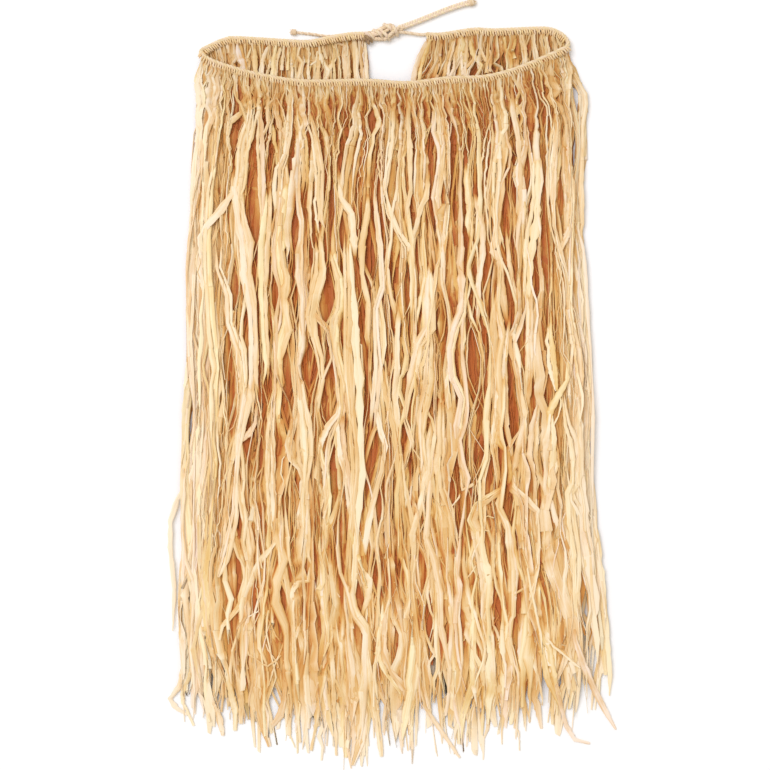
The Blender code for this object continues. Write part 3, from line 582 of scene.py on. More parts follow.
def lay(paths, offsets, roll):
    """A sweep for ribbons that lie flat. Its rings never cross, however sharp the bend."""
    reach = np.abs(offsets[..., 0]).max(axis=2)
    gap = np.linalg.norm(np.diff(paths[..., :2], axis=1), axis=2)
    most = 0.7 * gap / np.maximum(np.maximum(reach[:, 1:], reach[:, :-1]), 1e-6)
    tangent = np.gradient(paths, axis=1)
    heading = np.unwrap(np.arctan2(tangent[..., 1], tangent[..., 0]), axis=1)
    for _ in range(16):
        turn = np.diff(heading, axis=1)
        over = 0.5 * (turn - np.clip(turn, -most, most))
        heading[:, :-1] += over
        heading[:, 1:] -= over
    flat = np.stack([-np.sin(heading), np.cos(heading)], axis=-1)[:, :, None]
    across = np.cos(roll)[..., None] * offsets[..., 0] - np.sin(roll)[..., None] * offsets[..., 1]
    above = np.sin(roll)[..., None] * offsets[..., 0] + np.cos(roll)[..., None] * offsets[..., 1]
    plan = paths[:, :, None, :2] + across[..., None] * flat
    return np.concatenate([plan, (paths[:, :, None, 2] + above)[..., None]], axis=-1)


def strand_faces(strands, rings, around, first):
    """Vertex numbers of the quads along the strands, and of the caps at their ends."""
    index = first + np.arange(strands * rings * around).reshape(strands, rings, around)
    after = np.roll(index, -1, axis=2)
    quads = np.stack([index[:, :-1], after[:, :-1], after[:, 1:], index[:, 1:]], axis=-1)
    caps = np.concatenate([index[:, 0, ::-1], index[:, -1]])
    return quads.reshape(-1, 4), caps.reshape(-1, around)


def strand_uvs(strands, rings, around, done, lanes):
    """The baked map's corners: one lane a strand, its length along the lane."""
    along = np.linspace(0.004, 0.996, rings)
    over = np.concatenate([np.linspace(0, 0.6, around), [1.0]]) * (UV_FILL / lanes)
    lane = (done + np.arange(strands)) / lanes
    quads = np.empty((strands, rings - 1, around, 4, 2))
    quads[..., 0] = np.stack([along[:-1], along[:-1], along[1:], along[1:]], axis=-1)[:, None]
    quads[..., 1] = np.stack([over[:-1], over[1:], over[1:], over[:-1]], axis=-1)
    quads[..., 1] += lane[:, None, None, None]
    caps = np.zeros((2, strands, around, 2))
    caps[..., 0] = along[[0, -1]][:, None, None]
    caps[..., 1] = lane[None, :, None] + over[:-1]
    caps[0] = caps[0, :, ::-1]
    return np.concatenate([quads.reshape(-1, 2), caps.reshape(-1, 2)])


def linked(name, data):
    """A new object in the scene."""
    obj = bpy.data.objects.new(name, data)
    bpy.context.scene.collection.objects.link(obj)
    return obj


class Bunch:
    """Swept strands that become one mesh, with what its materials and its baked map need."""

    def __init__(self):
        self.batches = []

    def add(self, corners, across, along, seed, tone, dimness=0.0):
        """corners: (strands, rings, points, 3). across and along are in metres, for the fibres."""
        shape = corners.shape[:3]
        fibre = [np.broadcast_to(part, shape) for part in (across, along, seed)]
        values = [np.broadcast_to(part, shape) for part in (tone, dimness)]
        self.batches.append((corners, np.stack(fibre, axis=-1), np.stack(values)))

    def build(self, name, material, sharp):
        """One object of all the strands, which rides on the skirt's body."""
        lanes = sum(len(corners) for corners, _, _ in self.batches)
        points, fibres, values, loops, starts, uvs = [], [], [], [], [], []
        first, done, corner_count = 0, 0, 0
        for corners, fibre, value in self.batches:
            strands, rings, around = corners.shape[:3]
            for faces in strand_faces(strands, rings, around, first):
                loops.append(faces.ravel())
                starts.append(corner_count + faces.shape[1] * np.arange(len(faces)))
                corner_count += faces.size
            uvs.append(strand_uvs(strands, rings, around, done, lanes))
            points.append(corners.reshape(-1, 3))
            fibres.append(fibre.reshape(-1, 3))
            values.append(value.reshape(2, -1))
            first += strands * rings * around
            done += strands
        points, loops, starts = np.concatenate(points), np.concatenate(loops), np.concatenate(starts)
        mesh = bpy.data.meshes.new(name)
        mesh.vertices.add(len(points))
        mesh.vertices.foreach_set("co", points.astype(np.float32).ravel())
        mesh.loops.add(len(loops))
        mesh.loops.foreach_set("vertex_index", loops.astype(np.int32))
        mesh.polygons.add(len(starts))
        mesh.polygons.foreach_set("loop_start", starts.astype(np.int32))
        mesh.update(calc_edges=True)
        mesh.validate()
        baked = mesh.uv_layers.new(name="OFBake")
        baked.uv.foreach_set("vector", np.concatenate(uvs).astype(np.float32).ravel())
        tone, dimness = np.concatenate(values, axis=1)
        for key, kind, field, data in (
            ("fibre", "FLOAT_VECTOR", "vector", np.concatenate(fibres)),
            ("tone", "FLOAT", "value", tone),
            ("dimness", "FLOAT", "value", dimness),
        ):
            attribute = mesh.attributes.new(key, kind, "POINT")
            attribute.data.foreach_set(field, data.astype(np.float32).ravel())
        mesh.shade_smooth()
        mesh.set_sharp_from_angle(angle=sharp)
        mesh.materials.append(material)
        obj = linked(name, mesh)
        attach(obj, BODY)
        return obj


# ---- materials


def fill(node, sockets):
    """The node's sockets linked to other nodes' outputs, or set to values."""
    for key, value in sockets.items():
        if isinstance(value, bpy.types.NodeSocket):
            node.id_data.links.new(value, node.inputs[key])
        else:
            node.inputs[key].default_value = value


def raffia(name, colours, streak, grain, bump):
    """Dry split leaf: tone from the strand, streaks and fibres along it, crumples across it."""
    material = bpy.data.materials.new(name)
    material.use_nodes = True
    tree = material.node_tree

    def node(kind, output, sockets, **settings):
        made = tree.nodes.new("ShaderNode" + kind)
        for key, value in settings.items():
            setattr(made, key, value)
        fill(made, sockets)
        return made.outputs[output]

    def noise(across, along, detail):
        """Noise drawn out along the strand: across and along are its repeats in a metre."""
        where = node("Mapping", "Vector", {"Vector": fibre, "Scale": (across, along, 1)})
        sockets = {"Vector": where, "Scale": 1.0, "Detail": detail, "Roughness": 0.6}
        return node("TexNoise", "Fac", sockets)

    def work_out(operation, a, b):
        return node("Math", "Value", {0: a, 1: b}, operation=operation)

    def mix(blend, factor, a, b):
        return node("Mix", "Result", {"Factor": factor, "A": a, "B": b}, data_type="RGBA", blend_type=blend)

    fibre = node("Attribute", "Vector", {}, attribute_name="fibre")
    value = node("Attribute", "Fac", {}, attribute_name="tone")
    # dimness: painted shade just below the cords, and the back panels' duller cast
    dimness = node("Attribute", "Fac", {}, attribute_name="dimness")
    fine, lines, broad = noise(1700, 14, 3.0), noise(620, 6, 2.0), noise(210, 4, 2.0)
    crumple, specks, one_strand = noise(240, 90, 3.0), noise(900, 160, 1.0), noise(0, 0, 0.0)
    for texture, size in ((broad, streak), (lines, streak), (fine, grain), (crumple, 0.5 * streak)):
        swing = work_out("MULTIPLY", work_out("SUBTRACT", texture, 0.5), size)
        value = work_out("ADD", value, swing)
    speck = work_out("MAXIMUM", work_out("SUBTRACT", specks, 0.70), 0.0)
    value = work_out("SUBTRACT", value, work_out("MULTIPLY", speck, 2.2))
    colour = node("ValToRGB", "Color", {"Fac": value})
    stops = colour.node.color_ramp.elements
    while len(stops) < len(colours):
        stops.new(0.5)
    for stop, (place, tint) in zip(stops, colours):
        stop.position = place
        stop.color = (*tint, 1)
    share = node("MapRange", "Result", {"Value": one_strand, "From Min": 0.3, "From Max": 0.7})
    tinted = mix("MULTIPLY", 1.0, colour, mix("MIX", share, *TINTS))
    height = work_out("ADD", work_out("MULTIPLY", fine, 0.45), work_out("MULTIPLY", crumple, 0.55))
    roughness = node("MapRange", "Result", {"Value": fine, "To Min": 0.48, "To Max": 0.72})
    relief = node("Bump", "Normal", {"Height": height, "Strength": bump, "Distance": 0.0006})
    look = {
        "Base Color": mix("MULTIPLY", dimness, tinted, DIMMED_BY),
        "Roughness": roughness,
        "Normal": relief,
        "Specular IOR Level": 0.32,
        "Sheen Weight": 0.10,
        "Sheen Roughness": 0.45,
    }
    fill(tree.nodes["Principled BSDF"], look)
    return material


# ---- panels, clumps and slits


class Panel:
    """One stretch of the cord and the raffia that hangs from it."""

    def __init__(self, name, span, edges, hem, slits, dimness, seed):
        self.name, self.edges, self.hem, self.slits, self.dimness = name, edges, hem, slits, dimness
        self.rng = np.random.default_rng(seed)
        route = WAIST_ROUTE[span[0] : span[1] + 1]
        self.cord = smooth_route(route if route[0][0] < route[-1][0] else route[::-1], 0.002)
        self.length = np.linalg.norm(np.diff(self.cord, axis=0), axis=1).sum()
        self.at = distances(self.cord) / self.length
        tangent = np.gradient(self.cord[:, :2], axis=0)
        tangent /= np.linalg.norm(tangent, axis=1, keepdims=True)
        self.down = np.stack([tangent[:, 1], -tangent[:, 0]], axis=1)
        self.fall = self.down * (0.25, 1.0)

    def on_cord(self, u):
        """The cord's middle at a share of the panel's width."""
        return np.stack([np.interp(u, self.at, self.cord[:, k]) for k in range(3)], axis=-1)

    def towards(self, directions, u):
        """One of the panel's directions, in the surface's plane, at a share of its width."""
        found = np.stack([np.interp(u, self.at, directions[:, k]) for k in range(2)], axis=-1)
        return found / np.linalg.norm(found, axis=-1, keepdims=True)

    def sides(self, y):
        """x of the panel's left and right edge."""
        return read_table(self.edges, 1, y), read_table(self.edges, 2, y)

    def place(self, root_u, u, drop):
        """x and y at a share of the width and a distance below the cord's middle."""
        root = self.on_cord(root_u)
        near = root[..., :2] + self.towards(self.fall, root_u) * drop[..., None]
        y = root[..., 1] - drop
        left, right = self.sides(y)
        far = np.stack([left + (right - left) * u, y], axis=-1)
        return near + (far - near) * ease(0.004, 0.075, drop)[..., None]

    def kept_in(self, x, y):
        """x drawn back to just past the panel's side edges."""
        left, right = self.sides(y)
        over = np.maximum(x - right, 0) - np.maximum(left - x, 0)
        return x - over + STRAY * np.tanh(over / (2 * STRAY))

    def across(self, x, y):
        """The share of the width at a place."""
        left, right = self.sides(y)
        return np.clip((x - left) / (right - left), 0.001, 0.999)


class Clumps:
    """Centres that neighbouring strands draw in to, level after level down the skirt."""

    def __init__(self, rng, width, spacing, pull):
        self.levels = []
        drop = 0.022
        while drop < 0.95:
            gaps = rng.uniform(0.45, 1.55, int(1.5 * width / spacing)) * spacing / width
            centres = np.cumsum(gaps) - gaps[0] * rng.random()
            pulls = np.clip(rng.normal(pull, 0.22, len(centres)), 0.05, 0.92)
            self.levels.append((drop, centres, pulls, rng.uniform(0, WHOLE_TURN), rng.uniform(9, 21)))
            drop += CLUMP_STEP * rng.uniform(0.7, 1.3)

    def at(self, rng, u, drop):
        """The pushes in u for strands at u of shape (strands, 1)."""
        places, pushes = [np.zeros(len(u))], [np.zeros(len(u))]
        for level, centres, pulls, phase, waves in self.levels:
            nearest = np.abs(u - centres).argmin(axis=1)
            pushes.append((centres[nearest] - u[:, 0]) * pulls[nearest])
            jitter = rng.normal(0, 0.007, len(u))
            places.append(level + 0.020 * np.sin(waves * u[:, 0] * WHOLE_TURN + phase) + jitter)
        places = np.maximum.accumulate(np.stack(places, axis=1), axis=1)
        return rows_at(drop, places, np.stack(pushes, axis=1))


def part_around(x, y, half, rank, slits):
    """x moved aside, so that strands of at least a slit's rank leave it open."""
    for px, py, half_width, half_length, lowest in slits:
        centre, level = seen_at(px, py)
        within = np.clip(1 - ((y - level) / (half_length * METRES_PER_PX)) ** 2, 0, 1) ** 1.5
        at = np.abs(y - level).argmin(axis=1)
        side = np.where(x[np.arange(len(x)), at] < centre, -1.0, 1.0)[:, None]
        need = half_width * METRES_PER_PX + 0.8 * half
        beyond = np.maximum(side * (x - centre), 0)
        push = need * within * np.exp(-beyond / (1.5 * need))
        x = x + side * push * (rank >= lowest)[:, None]
    return x


def front_layer(u, drop, y, rank):
    """How high a front strand lies: over the back panels, and on the surface past their hem."""
    side = ease(1.02, 0.88, np.abs(2 * u - 1))
    base = 0.6 * MM + 9.0 * MM * ease(-0.400, -0.315, y) * (0.3 + 0.7 * side)
    thick = (2.6 + 5.0 * ease(0.004, 0.060, drop) - 3.8 * ease(0.0, -0.28, y)) * MM
    thick = (thick - 2.0 * MM * ease(-0.28, -0.40, y)) * (0.35 + 0.65 * side)
    return base + thick * rank + 2.2 * MM * ease(0.030, 0.0, drop)


def back_layer(u, drop, y, rank):
    """How high a back strand lies, from the surface up."""
    thick = (2.8 + 4.0 * ease(0.004, 0.05, drop)) * MM
    thick = thick - 3.6 * MM * ease(-0.30, -0.39, y)
    return 1.0 * MM + thick * rank


# ---- ribbons


def by_section(widths):
    """Each section's points, and which ribbons are of the widths that it serves."""
    limits = ((WIDE_SECTION, WIDE_FROM, np.inf), (NARROW_SECTION, NARROW_FROM, WIDE_FROM))
    for section, low, high in (*limits, (FINE_SECTION, 0, NARROW_FROM)):
        yield np.array(section), (widths >= low) & (widths < high)


def ribbon_section(rng, section, drop, half, open_at):
    """Offsets of the section's points: lengthwise folds, deeper where the ribbon is rolled up."""
    count = len(drop)
    heights = np.zeros((*drop.shape, len(section)))
    rolled = 1 - open_at
    for k in range(1, len(section) - 1):
        size = rng.gamma(1.5, 0.060, count)[:, None]
        waves = 2 * math.pi * drop / rng.uniform(0.05, 0.2, (count, 1))
        swell = 0.6 + 0.4 * np.sin(waves + rng.uniform(0, WHOLE_TURN, (count, 1)))
        round_off = (1 - section[k] ** 2) * 1.1 * rolled**1.5
        fold = np.minimum(size * swell * half, MOST_FOLD)
        heights[..., k] = LEAF_THICKNESS + fold + round_off * half
    return np.stack([section * half[..., None], heights], axis=-1)


def facets(rng, drop, around, speckle=0.030):
    """Each fold's own tone: paler and darker stripes that come and go down the ribbon, partly streaks of
    the leaf's own colour and partly painted light and shade on its folds.
    """
    swells = [wander(rng, len(drop), drop, ((0.30, 0.050), (0.09, 0.045))) for _ in range(around)]
    return np.stack(swells, axis=-1) + rng.normal(0, speckle, (*drop.shape, around))


def edge_shade(section):
    """Painted shade: how much deeper the colour is along a ribbon's two edges."""
    return (EDGE_SHADE * (len(section) - len(FINE_SECTION))) * (np.abs(section) == 1)


def spacing_share(along):
    """From 0 where rings are close together, which stay in line, to 1 where they are 3 mm apart."""
    return np.clip(np.gradient(along, axis=1) / (3.0 * MM), 0, 1)


def clear_of_surface(z, half, roll):
    """z of a ribbon's middle, raised where its lower edge would dip under the surface."""
    return np.maximum(z, half * np.abs(np.sin(roll)) + CLEARANCE)


def laid_ribbons(paths, offsets, roll, along, seed, tone, dimness, u, width, reach):
    """Ribbons laid along their paths, with what their mesh needs, and their widths, reaches and areas."""
    corners = lay(paths, offsets, roll)
    corners[..., 2] = np.maximum(corners[..., 2], LOWEST)
    half = offsets[..., 0, 0]
    area = (2 * half * np.gradient(along, axis=1)).sum(axis=1)
    made = {"corners": corners, "across": offsets[..., 0], "along": along[..., None], "seed": seed}
    made |= {"tone": tone, "dimness": dimness[..., None], "u": u, "width": width, "reach": reach}
    return made | {"area": area}


# ---- the fringe's loose ribbons


class Fringe:
    """A panel's loose ribbons. Arrays have a row for each ribbon and a column for each ring.

    An owner is a ribbon as it leaves the cord. The parts that it splits into are ribbons of their
    own, which share its path down to where they come away from each other. A ribbon's rank is its
    place in the pile, from 0 at the bottom to 1.
    """

    def __init__(self, panel, clumps, layer, rings, per_bundle):
        self.panel, self.rng = panel, panel.rng
        self.set_out(round(panel.length / HEAD_SPACING), per_bundle)
        self.split_up()
        self.cut_to_length()
        self.place_rings(rings)
        self.draw_together(clumps)
        self.sway()
        self.open_and_roll()
        self.pile_up(layer)
        self.outline()
        self.colour()

    def along(self, nodes, values):
        """What the owners have at their nodes, read at the ribbons' rings."""
        return rows_at(self.drop, nodes[self.owner], values[self.owner])

    def set_out(self, bundles, per_bundle):
        """Each owner's rank, where on the cord it starts, where it aims, and its width."""
        rng = self.rng
        bundle = np.repeat(np.arange(bundles), per_bundle)
        self.owners = len(bundle)
        rank = (np.tile(np.arange(per_bundle), bundles) + rng.random(self.owners)) / per_bundle
        self.rank = rng.permuted(rank.reshape(bundles, per_bundle), axis=1).ravel()
        self.root_u = (bundle + 0.5 + rng.normal(0, 0.22, self.owners)) / bundles
        aim_u = (bundle + 0.5 + rng.normal(0, 1.7, self.owners)) / bundles
        aim_u = np.abs(aim_u) + 0.004 * rng.random(self.owners)
        self.aim_u = 1 - np.abs(1 - aim_u) - 0.004 * rng.random(self.owners)
        bands = rng.choice(len(WIDTH_BANDS), self.owners, p=[band[0] for band in WIDTH_BANDS])
        low, high = np.array([band[1:] for band in WIDTH_BANDS])[bands].T
        self.owner_width = (rng.uniform(low, high) + WIDER_BELOW * ease(0.5, 0.1, self.rank)) * MM

    def split_up(self):
        """Each ribbon's owner, its own width, and how far beside its owner's middle it lies."""
        rng = self.rng
        chances = np.array(SPLIT_CHANCES)[:, None]
        parts = 1 + (rng.random((len(chances), self.owners)) < chances).sum(axis=0)
        parts[self.owner_width < WHOLE_BELOW] = 1
        self.owner = np.repeat(np.arange(self.owners), parts)
        self.part = np.concatenate([np.arange(n) for n in parts])
        self.split = (parts[self.owner] > 1)[:, None]
        self.count = len(self.owner)
        share = rng.uniform(0.5, 1.5, self.count)
        share /= np.bincount(self.owner, share)[self.owner]
        before = np.cumsum(share) - share
        before -= before[np.searchsorted(self.owner, np.arange(self.owners))][self.owner]
        width = self.owner_width[self.owner]
        self.own_width = width * share
        self.beside = ((before + share / 2 - 0.5) * width)[:, None]
        self.width = width[:, None]

    def cut_to_length(self):
        """How far each ribbon reaches below the cord. The broad ones mostly reach furthest."""
        rng, owners = self.rng, self.owners
        cord_y = self.panel.on_cord(self.root_u)[:, 1]
        hem_x = self.panel.place(self.root_u, self.aim_u, np.full(owners, 0.74))[:, 0]
        kind = rng.random(owners) + 0.37 - 0.052 * self.owner_width / MM
        limits, least, most = zip(*SHORTFALLS)
        ends = [rng.uniform(low, high, owners) for low, high in zip(least, most)]
        shortfall = np.select([kind < limit for limit in limits], ends)
        reach = (cord_y - read_table(self.panel.hem, 1, hem_x) - shortfall)[self.owner]
        self.reach = reach - (self.part > 0) * rng.uniform(0, 0.045, self.count)

    def place_rings(self, rings):
        """How far below the cord each ring is: some at the bends, the rest closer near the cord."""
        rng, reach = self.rng, self.reach[:, None]
        self.bends_at = uneven_nodes(rng, self.owners, *BENDS_AT)
        self.crumples_at = uneven_nodes(rng, self.owners, *CRUMPLES_AT)
        self.turns_at = uneven_nodes(rng, self.owners, *TURNS_AT)
        even = np.linspace(0, 1, rings - BEND_RINGS - CRUMPLE_RINGS)
        even = even * (0.30 + 0.70 * even**0.8)
        at_bends = self.bends_at[self.owner][:, :BEND_RINGS]
        at_crumples = self.crumples_at[self.owner][:, :CRUMPLE_RINGS]
        drop = np.concatenate([reach * even, at_bends, at_crumples], axis=1)
        drop = np.where(drop > reach, reach * rng.random(drop.shape), drop)
        self.drop = ROW_DROP + np.sort(drop, axis=1) * ((reach - ROW_DROP) / reach)
        self.slack = spacing_share(self.drop)

    def draw_together(self, clumps):
        """Where the ribbons lie across the panel, drawn into the clumps of their own sublayer."""
        rng, owner, drop = self.rng, self.owner, self.drop
        u = self.root_u[owner][:, None]
        u = u + (self.aim_u - self.root_u)[owner][:, None] * ease(0.004, 0.110, drop)
        sheet = np.minimum((self.rank * len(clumps)).astype(int), len(clumps) - 1)
        for k, clump in enumerate(clumps):
            mine = sheet == k
            rulers = np.broadcast_to(RULER, (self.count, len(RULER)))
            pushes = clump.at(rng, self.aim_u[mine][:, None], rulers[: mine.sum()])
            index = np.flatnonzero(mine[owner])
            local = np.cumsum(mine)[owner[index]] - 1
            u[index] += rows_at(drop[index], rulers[: len(index)], pushes[local])
        self.u = u + rng.normal(0, 0.010, self.owners)[owner][:, None] * ease(0.2, 0.8, drop)
        self.place = self.panel.place(self.root_u[owner][:, None], self.u, drop)
        self.y = self.place[..., 1]

    def sway(self):
        """How far aside bends, crumples, partings and the splayed tips take the ribbons."""
        rng, owner, drop = self.rng, self.owner, self.drop
        loose = np.interp(self.width, SWAY_WIDTHS, SWAYS)
        looser = np.minimum(loose, 1.2)
        size = 1.25 * MM * (0.75 + 1.0 * np.minimum(self.bends_at, 0.9))
        swing = self.along(self.bends_at, bends(rng, self.bends_at, size, 0.5)) * loose
        lurches_at = uneven_nodes(rng, self.owners, *LURCHES_AT)
        lurch = bends(rng, lurches_at, 4.6 * MM, 0.6)
        swing = (swing + self.along(lurches_at, lurch)) * ease(0.008, 0.06, drop)
        crush = self.along(self.crumples_at, bends(rng, self.crumples_at, 1.10 * MM, 0.35)) * looser
        crush = crush + gathers(rng, self.root_u[owner][:, None] * self.panel.length, drop)
        crush *= ease(0.005, 0.010, drop) * ease(0.120, 0.025, drop)
        crinkle = rng.normal(0, 0.62 * MM, drop.shape) * self.slack * looser * ease(0.005, 0.012, drop)
        split_at = (rng.uniform(0.25, 0.92, self.owners)[owner] * self.reach)[:, None]
        partings_at = uneven_nodes(rng, self.count, *PARTINGS_AT)
        parting = rows_at(drop, partings_at, bends(rng, partings_at, 2.6 * MM, 0.7))
        parting *= ease(0, 0.045, drop - split_at) * self.split
        splay = rng.normal(0, 6.0 * MM, (self.count, 1))
        splay = splay * ease(0.080, 0.0, self.reach[:, None] - drop) ** 1.5
        self.aside = swing + splay * looser + crush + crinkle + parting

    def open_and_roll(self):
        """Broad flat stretches between narrow rolled ones, each leaning its own way."""
        rng, owner, drop, turns_at = self.rng, self.owner, self.drop, self.turns_at
        rolled_up = rng.random(turns_at.shape) < 0.42 * ease(0.02, 0.36, self.rank)[:, None]
        low, high = np.where(rolled_up, 0.18, 0.66), np.where(rolled_up, 0.46, 1.0)
        openness = rng.uniform(low, high)
        gather = np.minimum(3.0 * MM / self.width, 0.95)
        open_at = self.along(turns_at, openness)
        self.open_at = gather + (open_at - gather) * ease(0.005, 0.026, drop)
        lean = np.clip(rng.normal(0, math.radians(20), turns_at.shape), -0.9, 0.9)
        inside = ease(0.245, 0.190, np.abs(self.place[..., 0])) * ease(-0.36, -0.16, self.y)
        roll = self.along(turns_at, lean) * (0.30 + 0.70 * inside)
        twist = rng.choice((-1.0, 0.0, 1.0), turns_at.shape, p=(0.2, 0.6, 0.2))
        twist = twist * (openness < 0.46) * (turns_at > 0.075)
        for k in range(1, turns_at.shape[1]):
            at, way = turns_at[owner][:, k : k + 1], twist[owner][:, k : k + 1]
            rings_past = np.arange(drop.shape[1]) - (drop < at).sum(axis=1, keepdims=True)
            roll = roll + math.pi * way * np.clip(0.5 + rings_past / TWIST_RINGS, 0, 1)
        self.roll, self.inside = roll, inside

    def pile_up(self, layer):
        """x and z: the ribbons lie over each other by rank, beside the slits, within the panel."""
        rng, owner, drop, y = self.rng, self.owner, self.drop, self.y
        rank = self.rank[owner]
        apart = np.interp(self.rank, LAYERS_AT, LAYERS)[owner][:, None]
        height = apart + (rank[:, None] - apart) * ease(0.30, 0.66, drop)
        height = height + wander(rng, self.count, drop, RISE)
        z = layer(self.u, drop, y, np.clip(height, 0, 0.97))
        x = self.place[..., 0] + self.aside + self.beside * self.open_at * np.cos(self.roll)
        uneven = np.abs(rng.normal(0, 1, drop.shape)) * self.slack
        z = z + uneven * (0.13 + 0.32 * self.inside) * MM * ease(0.01, 0.03, drop)
        stir = rng.normal(0, 0.13, drop.shape) * self.slack
        self.roll = self.roll + stir * (0.35 + 0.65 * self.inside)
        slits = [*self.panel.slits, *SEE_THROUGH]
        parted = part_around(x, y, self.own_width[:, None] / 2 * self.open_at, rank, slits)
        x = x + (parted - x) * ease(0.006, 0.019, drop)
        self.x = self.panel.kept_in(x, y)
        self.z = z + np.clip(self.beside * self.open_at * np.sin(self.roll), -1.5 * MM, 1.5 * MM)

    def outline(self):
        """Half of each ribbon's width down its length: ragged, and mostly tapered to its tip."""
        rng, drop, own_width = self.rng, self.drop, self.own_width[:, None]
        ragged = wander(rng, self.count, drop, ((0.05, 0.08), (0.13, 0.08)))
        ragged = ragged + rng.normal(0, 0.14, drop.shape) * self.slack
        half = own_width / 2 * self.open_at * (1 + np.clip(ragged, -0.4, 0.4))
        half = half * (1 + 0.50 * ease(0.44, 0.68, drop))
        self.left = self.reach[:, None] - drop
        taper = rng.uniform(0.010, 0.060, self.count)[:, None] * (1 + own_width / 0.012)
        pointed = rng.random(self.count)[:, None] < 0.62 + 0.4 * ease(4 * MM, 8 * MM, own_width)
        half = half * np.where(pointed, 0.24 + 0.76 * ease(0, 1, self.left / taper), 1.0)
        self.half = np.maximum(half, (0.30 + 0.50 * np.exp(-drop / 0.030)) * MM)

    def colour(self):
        """Tones: deeper by the row, where rolled up and in fine ribbons, and paler at sides and tips."""
        rng, owner, drop = self.rng, self.owner, self.drop
        tone = FRONT_TONE if self.panel.name == "front" else BACK_TONE
        tone = tone + rng.normal(0, 0.07, self.owners)[owner][:, None]
        tone = tone + rng.normal(0, 0.03, self.count)[:, None]
        tone = tone + wander(rng, self.count, drop, ((0.30, 0.05), (0.11, 0.035)))
        speckle = rng.normal(0, 0.038, drop.shape) * (0.4 + 0.6 * self.slack)
        tone = tone + speckle * (1 + 1.6 * np.exp(-drop / 0.040))
        # Painted light: paler over the last 12 cm to a tip.
        tone = tone - 0.14 * (1 - self.open_at) + 0.16 * ease(0.12, 0.0, self.left)
        tone = tone - 0.12 * ease(3.0 * MM, 1.2 * MM, self.own_width)[:, None]
        # Painted shade: deeper just below the row, between its loops.
        tone = tone - 0.24 * ease(0.0100, 0.0055, drop)
        # Painted light: paler at the sides.
        tone = tone + SIDE_LIGHT_TONE * ease(0.185, 0.230, np.abs(self.place[..., 0]))
        # Painted light: paler towards the hem.
        self.tone = tone + 0.05 * ease(-0.32, -0.36, self.y) + 0.03 * ease(0.20, 0.32, self.y)
        # Painted shade just below the cord, on top of the panel's own dimness.
        self.dimness = self.panel.dimness + (1 - self.panel.dimness) * 0.75 * np.exp(-drop / 0.050)

    def batches(self):
        """The ribbons laid, in one batch for each section. Their ends are cut at a slant."""
        rng = self.rng
        seeds = rng.uniform(0, SEED_RANGE, self.count)
        cut = rng.uniform(-1.4, 1.4, self.count)
        z = clear_of_surface(self.z, self.half, self.roll)
        paths = np.stack([self.x, self.y, z], axis=-1)
        made = []
        for section, mine in by_section(self.own_width):
            drop, half, open_at = self.drop[mine], self.half[mine], self.open_at[mine]
            offsets = ribbon_section(rng, section, drop, half, open_at)
            tone = self.tone[mine][..., None] + facets(rng, drop, len(section)) - edge_shade(section)
            look = (seeds[mine][:, None, None], tone, self.dimness[mine])
            sizes = (self.aim_u[self.owner][mine], self.own_width[mine], self.reach[mine])
            batch = laid_ribbons(paths[mine], offsets, self.roll[mine], drop, *look, *sizes)
            slant = cut[mine][:, None] * section - np.abs(cut[mine])[:, None]
            batch["corners"][:, -1, :, 1] += 0.5 * half[:, -1:] * slant
            made.append(batch)
        return made


# ---- the bed and the placed ribbons


def bed_ribbons(panel, layer, rings, spacing, width, reach):
    """Broad ribbons under all the others, which close the panel's back. Their deeper tone is painted shade.
    """
    rng = panel.rng
    count = round(panel.length / spacing)
    u = BED_INSET + (1 - 2 * BED_INSET) * ((np.arange(count) + 0.5) / count)[:, None]
    end = reach + rng.uniform(-0.105, -0.015, (count, 1))
    drop = BED_START + (end - BED_START) * np.linspace(0, 1, rings)[None] ** 1.3
    place = panel.place(u, u + rng.normal(0, 0.002, (count, 1)), drop)
    x, y = place[..., 0], place[..., 1]
    x = x + wander(rng, count, drop, ((0.21, 1.0 * MM), (0.09, 0.5 * MM)))
    x = part_around(x, y, width / 2, np.zeros(count), SEE_THROUGH)
    open_at = 0.72 + 0.28 * ease(0.004, 0.030, drop)
    half = width / 2 * open_at * rng.uniform(0.85, 1.15, (count, 1))
    half = half * (0.10 + 0.90 * ease(0.0, 0.06, end - drop))
    z = layer(u, drop, y, 0.0) - 0.4 * MM + 0.5 * MM * rng.random((count, 1))
    roll = wander(rng, count, drop, ((0.17, 0.05),))
    tone = BED_TONE + rng.normal(0, 0.07, (count, 1)) + 0.10 * ease(0.055, 0.012, drop)
    # Painted shade: deeper just below the row, seen between its loops.
    tone = tone - 0.34 * ease(0.009, 0.004, drop)
    # Painted shade: deeper in the lower panel, above the hem.
    tone = tone - 0.18 * ease(-0.16, -0.26, y) * ease(-0.38, -0.32, y)
    section = np.array(NARROW_SECTION)
    paths = np.stack([x, y, clear_of_surface(z, half, roll)], axis=-1)
    offsets = ribbon_section(rng, section, drop, half, open_at)
    seeds = rng.uniform(0, SEED_RANGE, (count, 1, 1))
    tone = tone[..., None] + facets(rng, drop, len(section), 0.015)
    look = (seeds, tone, np.full(drop.shape, panel.dimness))
    return laid_ribbons(paths, offsets, roll, drop, *look, u[:, 0], np.full(count, width), end[:, 0])


